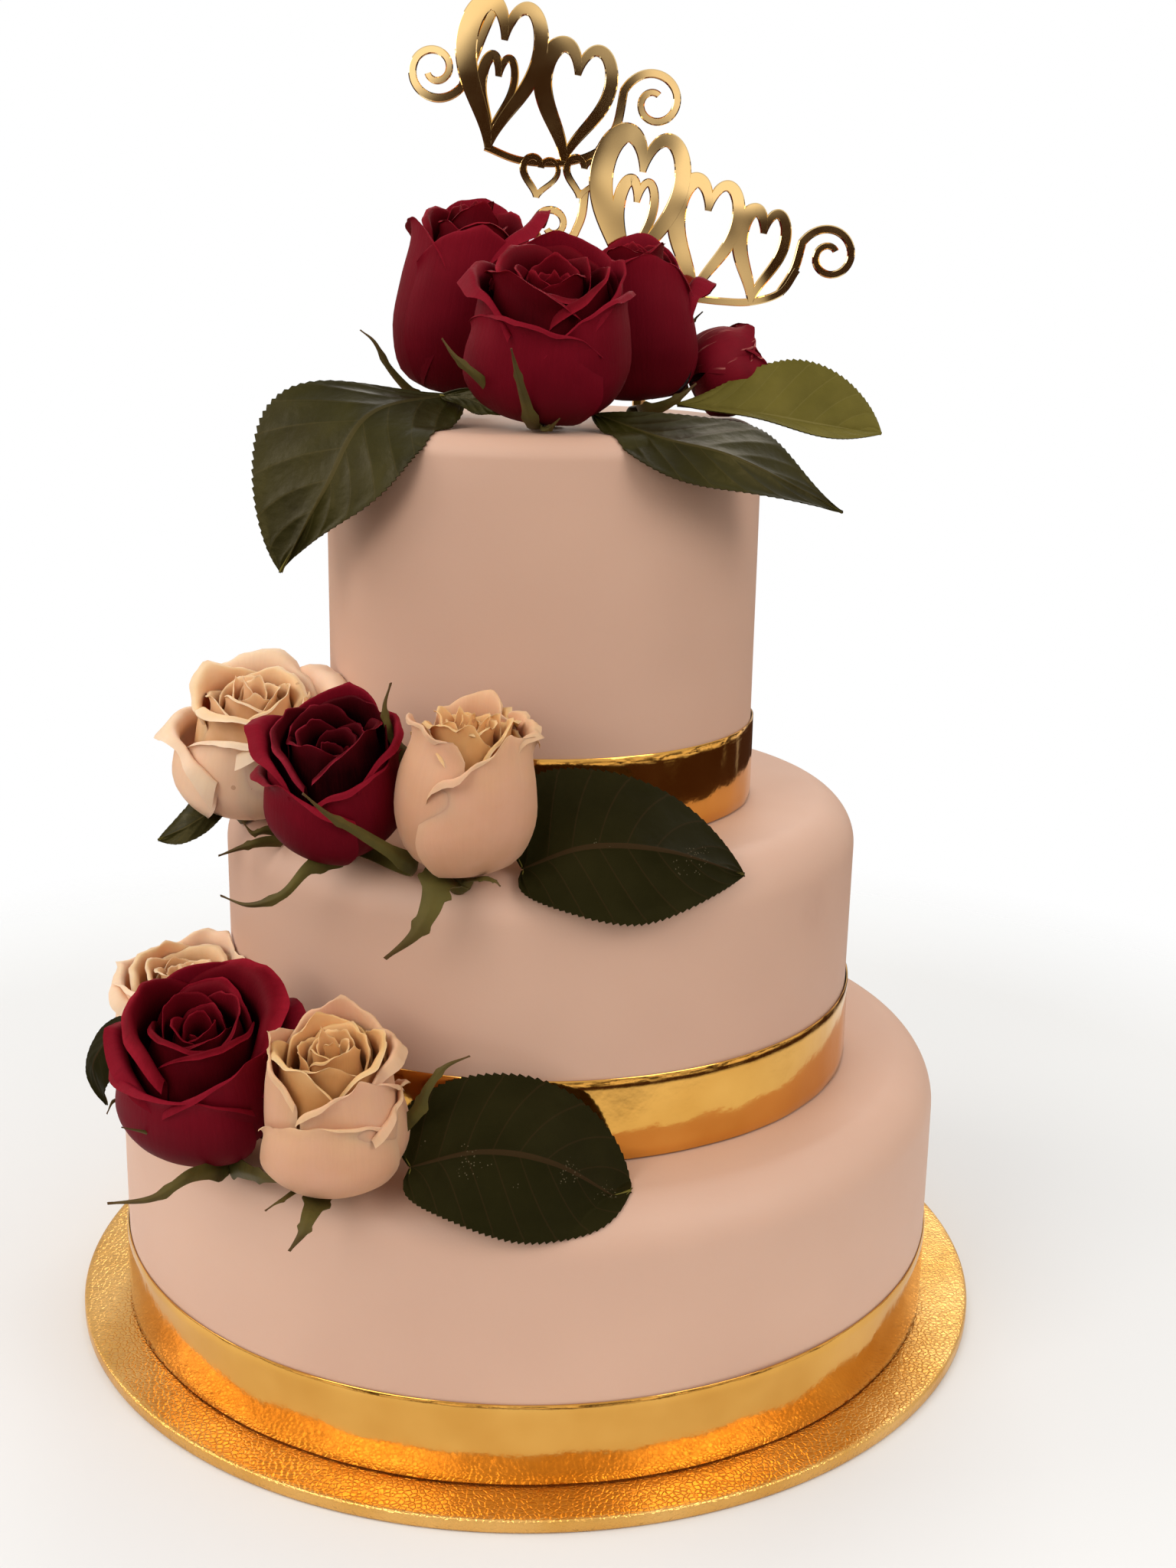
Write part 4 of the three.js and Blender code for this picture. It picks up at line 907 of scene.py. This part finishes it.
class Nodes:
    """Short helper for a node tree, with one system of coordinates for its noises."""

    def __init__(self, tree, system):
        self.nodes = tree.nodes
        self.links = tree.links
        self.system = system

    def add(self, kind, **values):
        """A node with its inputs and properties set, or linked where the value is a socket."""
        node = self.nodes.new(kind)
        for key, value in values.items():
            if isinstance(value, bpy.types.NodeSocket):
                self.links.new(value, node.inputs[key])
            elif key in node.inputs:
                node.inputs[key].default_value = value
            else:
                setattr(node, key, value)
        return node

    def coordinates(self):
        return self.add("ShaderNodeTexCoord").outputs[self.system]

    def split(self, vector):
        return self.add("ShaderNodeSeparateXYZ", Vector=vector).outputs

    def noise(self, scale, detail=3.0, rough=0.5, vector=None):
        place = vector or self.coordinates()
        node = self.add("ShaderNodeTexNoise", Scale=scale, Detail=detail, Roughness=rough, Vector=place)
        return node.outputs["Fac"]

    def cells(self, scale, feature="F1"):
        """Distance in a pattern of cells, to their middles or their edges."""
        place = self.coordinates()
        node = self.add("ShaderNodeTexVoronoi", feature=feature, Scale=scale, Vector=place)
        return node.outputs["Distance"]

    def ramp(self, source, stops):
        node = self.add("ShaderNodeValToRGB", Fac=source)
        ramp = node.color_ramp
        while len(ramp.elements) < len(stops):
            ramp.elements.new(0.5)
        for element, (place, color) in zip(ramp.elements, stops):
            element.position = place
            element.color = (*color, 1)
        return node.outputs["Color"]

    def mottle(self, source, tones):
        """Colour between two tones, by a noise."""
        return self.ramp(source, [(0.3, tones[0]), (0.7, tones[1])])

    def remap(self, source, low, high, out_low=0.0, out_high=1.0):
        limits = {"From Min": low, "From Max": high, "To Min": out_low, "To Max": out_high}
        return self.add("ShaderNodeMapRange", Value=source, **limits).outputs["Result"]

    def fill(self, socket, value):
        """Sets a socket to a number or a colour, or links it."""
        if isinstance(value, bpy.types.NodeSocket):
            self.links.new(value, socket)
        else:
            socket.default_value = (*value, 1) if socket.type == "RGBA" else value

    def math(self, operation, a, b=0.0, c=0.0):
        node = self.add("ShaderNodeMath", operation=operation)
        for socket, value in zip(node.inputs, (a, b, c)):
            self.fill(socket, value)
        return node.outputs[0]

    def times(self, a, b):
        return self.math("MULTIPLY", a, b)

    def mix(self, share, a, b):
        node = self.add("ShaderNodeMix", data_type="RGBA")
        for socket, value in ((node.inputs[0], share), (node.inputs[6], a), (node.inputs[7], b)):
            self.fill(socket, value)
        return node.outputs[2]


class Shader(Nodes):
    """Short helper for a material."""

    def __init__(self, name):
        self.material = bpy.data.materials.new(name)
        self.material.use_nodes = True
        super().__init__(self.material.node_tree, "Object")
        self.bsdf = self.nodes["Principled BSDF"]

    def set(self, **values):
        for key, value in values.items():
            self.fill(self.bsdf.inputs[key.replace("_", " ")], value)

    def uv(self):
        return self.add("ShaderNodeUVMap", uv_map="Surface").outputs["UV"]

    def streaks(self, across, along, detail, rough):
        """Noise drawn out lengthwise."""
        node = self.add("ShaderNodeMapping", Scale=(across, along, 1), Vector=self.uv())
        return self.noise(1.0, detail, rough, node.outputs["Vector"])

    def bump(self, height, distance):
        node = self.add("ShaderNodeBump", Distance=distance, Strength=1.0, Height=height)
        previous = self.bsdf.inputs["Normal"].links
        if previous:
            self.fill(node.inputs["Normal"], previous[0].from_socket)
        self.set(Normal=node.outputs["Normal"])

    def roughness(self, source, low, high):
        self.set(Roughness=self.remap(source, 0, 1, low, high))


def fondant_material():
    """Ivory sugar paste, peach with the warm light's cast painted in: satin, faintly mottled, with shallow
    dents from smoothing and one smudge.
    """
    s = Shader("ivory_fondant")
    broad = s.noise(11, 2)
    away = s.add("ShaderNodeVectorMath", operation="DISTANCE", Vector=s.coordinates())
    away.inputs[1].default_value = SMUDGE_PLACE
    near = s.ramp(away.outputs["Value"], [(0.002, (0.4, 0.4, 0.4)), (0.012, BLACK)])
    s.set(Base_Color=s.mix(s.times(near, s.noise(160, 3)), s.mottle(broad, WARM_CAST_ICING_TONES), SMUDGE_COLOR))
    s.roughness(s.noise(60, 3), 0.48, 0.62)
    s.set(Subsurface_Weight=0.12, Subsurface_Scale=0.004, Subsurface_Radius=(1.0, 0.55, 0.35))
    s.bump(broad, 0.0016)
    s.bump(s.noise(900, 2), 0.00003)
    return s.material


def ribbon_material():
    """Mirror-bright gold foil, softly waved."""
    s = Shader("gold_foil_ribbon")
    s.set(Metallic=1.0)
    s.set(Base_Color=s.mottle(s.noise(40, 2), RIBBON_TONES))
    s.roughness(s.noise(150, 3), 0.06, 0.16)
    s.bump(s.noise(28, 1), 0.0012)
    s.bump(s.noise(260, 2), 0.00006)
    return s.material


def board_material():
    """Card covered in gold foil, embossed with fine cells."""
    s = Shader("gold_foil_board")
    s.set(Metallic=1.0)
    s.set(Base_Color=s.mottle(s.noise(30, 3), BOARD_TONES))
    s.roughness(s.noise(200, 3), 0.22, 0.4)
    s.bump(s.ramp(s.cells(520.0, "DISTANCE_TO_EDGE"), [(0.0, BLACK), (0.2, WHITE)]), 0.0001)
    s.bump(s.noise(160, 3), 0.0003)
    s.bump(s.noise(900, 2), 0.00005)
    return s.material


def topper_material():
    """Gold mirror acrylic."""
    s = Shader("gold_mirror_topper")
    s.set(Metallic=1.0)
    s.set(Base_Color=s.mottle(s.noise(25, 2), TOPPER_TONES))
    s.roughness(s.noise(120, 2), 0.03, 0.06)
    s.bump(s.noise(16, 1), 0.0009)
    return s.material


def petal_shader(name, stops, rough, sheen, sheen_tint, vein_depth, vein_share, through_light):
    """Petal: darker at the base as painted shade, lighter at the rim, with fine lengthwise veins and a
    velvet sheen.
    """
    s = Shader(name)
    veins = s.streaks(42, 4, 4, 0.6)
    patch = s.noise(70, 3)
    rise = s.math("ADD", s.split(s.uv())["Y"], s.times(s.math("SUBTRACT", patch, 0.5), 0.35))
    darker = tuple(0.72 * c for c in stops[1][1])
    # The ramp up the petal paints shade at its base; the darker mix along the veins is their own colour
    s.base = s.mix(s.times(s.math("SUBTRACT", veins, 0.35), vein_share), s.ramp(rise, stops), darker)
    s.set(Base_Color=s.base)
    s.roughness(patch, rough - 0.08, rough + 0.08)
    s.set(Sheen_Weight=sheen, Sheen_Roughness=0.45, Sheen_Tint=sheen_tint)
    s.set(Subsurface_Weight=through_light, Subsurface_Scale=0.002, Subsurface_Radius=(1.0, 0.45, 0.25))
    s.bump(veins, vein_depth)
    s.bump(s.noise(1400, 2), 0.00002)
    return s


def red_petal_material(name, stops):
    s = petal_shader(name, stops, rough=0.6, sheen=0.01, sheen_tint=(0.8, 0.06, 0.12),
                     vein_depth=0.00016, vein_share=0.7, through_light=0.06)
    s.set(Specular_IOR_Level=0.07, Specular_Tint=(1.0, 0.5, 0.5))
    return s.material


def streaked_petal_material(name, stops):
    """Red petal with a few pale streaks from base to rim."""
    s = Shader(name)
    streaks = s.streaks(13, 1.6, 3, 0.55)
    share = s.ramp(streaks, [(0.6, BLACK), (0.68, WHITE)])
    red = s.mottle(s.noise(70, 3), (stops[1][1], stops[2][1]))
    s.set(Base_Color=s.mix(share, red, STREAK_COLOR))
    s.set(Roughness=0.6, Specular_IOR_Level=0.07)
    s.bump(streaks, 0.0002)
    return s.material


def cream_petal_material(name, stops, blush):
    """Cream petal with broad blushed patches and small brown bruises."""
    s = petal_shader(name, stops, rough=0.55, sheen=0.08, sheen_tint=(1.0, 0.85, 0.6),
                     vein_depth=0.00006, vein_share=0.3, through_light=0.25)
    s.set(Specular_IOR_Level=0.25)
    cloud = s.times(s.math("SUBTRACT", s.noise(48, 4), 0.42), 2.6)
    blushed = s.mix(s.math("MINIMUM", s.math("MAXIMUM", cloud, 0.0), 0.75), s.base, blush)
    dot = s.math("LESS_THAN", s.cells(150.0), 0.13)
    rare = s.math("GREATER_THAN", s.noise(55, 2), 0.6)
    s.set(Base_Color=s.mix(s.times(s.times(dot, rare), 0.45), blushed, BRUISE_COLOR))
    return s.material


def leaf_material(name, tones, vein, rough, shine, tint, flecks):
    """Leaf: mottled green with a paler midrib and side veins, waxy, with flecks of dust near the midrib."""
    s = Shader(name)
    place = s.split(s.uv())
    across = s.math("ABSOLUTE", s.math("SUBTRACT", s.times(place["X"], 2), 1))
    slope = s.math("SUBTRACT", 1, s.times(place["Y"], 0.35))
    side_veins = LARGE_LEAF["veins"]
    count = s.math("SUBTRACT", s.times(place["Y"], side_veins), s.times(s.times(across, 2), slope))
    side = s.math("LESS_THAN", s.math("PINGPONG", count, 0.5), 0.028)
    rib = s.math("LESS_THAN", across, 0.035)
    lines = s.math("MAXIMUM", rib, s.times(side, 0.45))
    green = s.mix(s.times(lines, 0.55), s.mottle(s.noise(45, 4), tones), vein)
    fleck = s.math("LESS_THAN", s.cells(900.0), 0.22)
    patch = s.math("GREATER_THAN", s.noise(70, 3), 0.6)
    share = s.times(s.times(s.times(fleck, patch), flecks), s.math("LESS_THAN", across, 0.4))
    s.set(Base_Color=s.mix(share, green, FLECK_COLOR))
    s.roughness(s.noise(110, 3), rough - 0.07, rough + 0.1)
    s.set(Specular_IOR_Level=shine, Specular_Tint=tint)
    s.bump(s.noise(330, 4), 0.00022)
    s.bump(s.noise(90, 2), 0.0006)
    return s.material


def calyx_material():
    """Green of cup and sepals, brown towards the tips."""
    s = Shader("green_calyx")
    tone = s.noise(80, 3)
    tip = s.times(s.math("POWER", s.split(s.uv())["Y"], 3), 0.7)
    s.set(Base_Color=s.mix(tip, s.mottle(tone, CUP_TONES), SEPAL_TIP_COLOR))
    s.roughness(tone, 0.45, 0.65)
    s.set(Subsurface_Weight=0.08, Subsurface_Scale=0.002)
    s.set(Specular_IOR_Level=0.25, Specular_Tint=(1.0, 0.85, 0.5))
    s.bump(s.noise(400, 3), 0.00015)
    return s.material


def floor_material():
    """Pale floor that fades out towards its rim."""
    s = Shader("pale_floor")
    s.set(Roughness=0.7)
    s.set(Base_Color=s.mottle(s.noise(2, 2), FLOOR_TONES))
    length = s.add("ShaderNodeVectorMath", operation="LENGTH", Vector=s.coordinates())
    s.set(Alpha=s.ramp(length.outputs["Value"], [(0.4, WHITE), (0.58, BLACK)]))
    return s.material


def studio_world():
    """Room light: bright above, patchy and warm near the horizon for the foil to mirror, dark below."""
    world = bpy.data.worlds.new("studio")
    world.use_nodes = True
    w = Nodes(world.node_tree, "Generated")
    height = w.split(w.coordinates())["Z"]
    level = w.math("SUBTRACT", w.math("MULTIPLY_ADD", height, 0.5, 0.5), 0.3)
    uneven = w.math("MULTIPLY_ADD", w.noise(7.0, 2.0), 0.6, level)
    sky = w.ramp(uneven, SKY)
    clutter = w.ramp(w.noise(10.0, 1.0), CLUTTER)
    horizon = w.times(w.remap(height, 0.3, 0.16), w.remap(height, -0.1, -0.04))
    room = w.mix(horizon, sky, clutter)
    seen = w.add("ShaderNodeLightPath").outputs["Is Camera Ray"]
    background = w.nodes["Background"]
    w.fill(background.inputs["Color"], w.mix(seen, room, BACKDROP))
    w.fill(background.inputs["Strength"], ROOM_STRENGTH)
    bpy.context.scene.world = world


def floor():
    """Round pale floor just under the board."""
    angle = around(128)
    rim = polar(0, 0, FLOOR_RADIUS, angle, 0 * angle)
    data = bpy.data.meshes.new("floor")
    data.from_pydata(rim.tolist(), [], [tuple(range(len(rim)))])
    data.materials.append(floor_material())
    disc = bpy.data.objects.new("floor", data)
    disc.location.z = -FLOOR_DROP
    bpy.context.scene.collection.objects.link(disc)


def studio():
    """Floor, room and soft lights."""
    floor()
    studio_world()
    for name, (place, size, power, color) in LIGHTS.items():
        lamp = bpy.data.lights.new(name, "AREA")
        lamp.shape = "RECTANGLE"
        lamp.size, lamp.size_y = size
        lamp.energy = power
        lamp.color = color
        holder = bpy.data.objects.new(name, lamp)
        holder.location = place
        aim = Vector(LIGHT_AIM) - Vector(place)
        holder.rotation_euler = aim.to_track_quat("-Z", "Y").to_euler()
        bpy.context.scene.collection.objects.link(holder)
    bpy.context.scene.view_settings.view_transform = "Standard"


def camera():
    """Camera that stands where the photograph was taken."""
    data = bpy.data.cameras.new("camera")
    data.lens = CAMERA_LENS
    data.sensor_width = SENSOR_WIDTH
    data.clip_start = 0.02
    data.clip_end = 50
    eye = bpy.data.objects.new("camera", data)
    turn = Matrix.Rotation(-CAMERA_YAW, 4, "Z")
    tilt = Matrix.Rotation(math.pi / 2 - CAMERA_DOWN, 4, "X")
    roll = Matrix.Rotation(CAMERA_ROLL, 4, "Z")
    eye.matrix_world = Matrix.Translation(Vector(CAMERA_PLACE) * MM) @ turn @ tilt @ roll
    bpy.context.scene.collection.objects.link(eye)
    bpy.context.scene.camera = eye


def cake():
    fondant = fondant_material()
    foil = ribbon_material()
    for name, spec in TIERS.items():
        tier(name, fondant, **spec)
        ribbon(name, spec, foil)
    board(board_material())
    topper(topper_material())


def flowers():
    petals = {name: red_petal_material(name, stops) for name, stops in RED_TONES.items()}
    for name, stops in CREAM_TONES.items():
        petals[name] = cream_petal_material(name, stops, BLUSHES[name])
    petals["streaked_petal"] = streaked_petal_material("streaked_petal", RED)
    green = calyx_material()
    leaf_materials = {look: leaf_material(**spec) for look, spec in LEAF_LOOKS.items()}
    for name, spec in ROSES.items():
        rose(name, spec, petals)
        calyx(name, spec, green)
    for name, spec in LEAVES.items():
        leaf(name, {**USUAL_LEAF, **spec}, leaf_materials)


camera()
studio()
cake()
flowers()
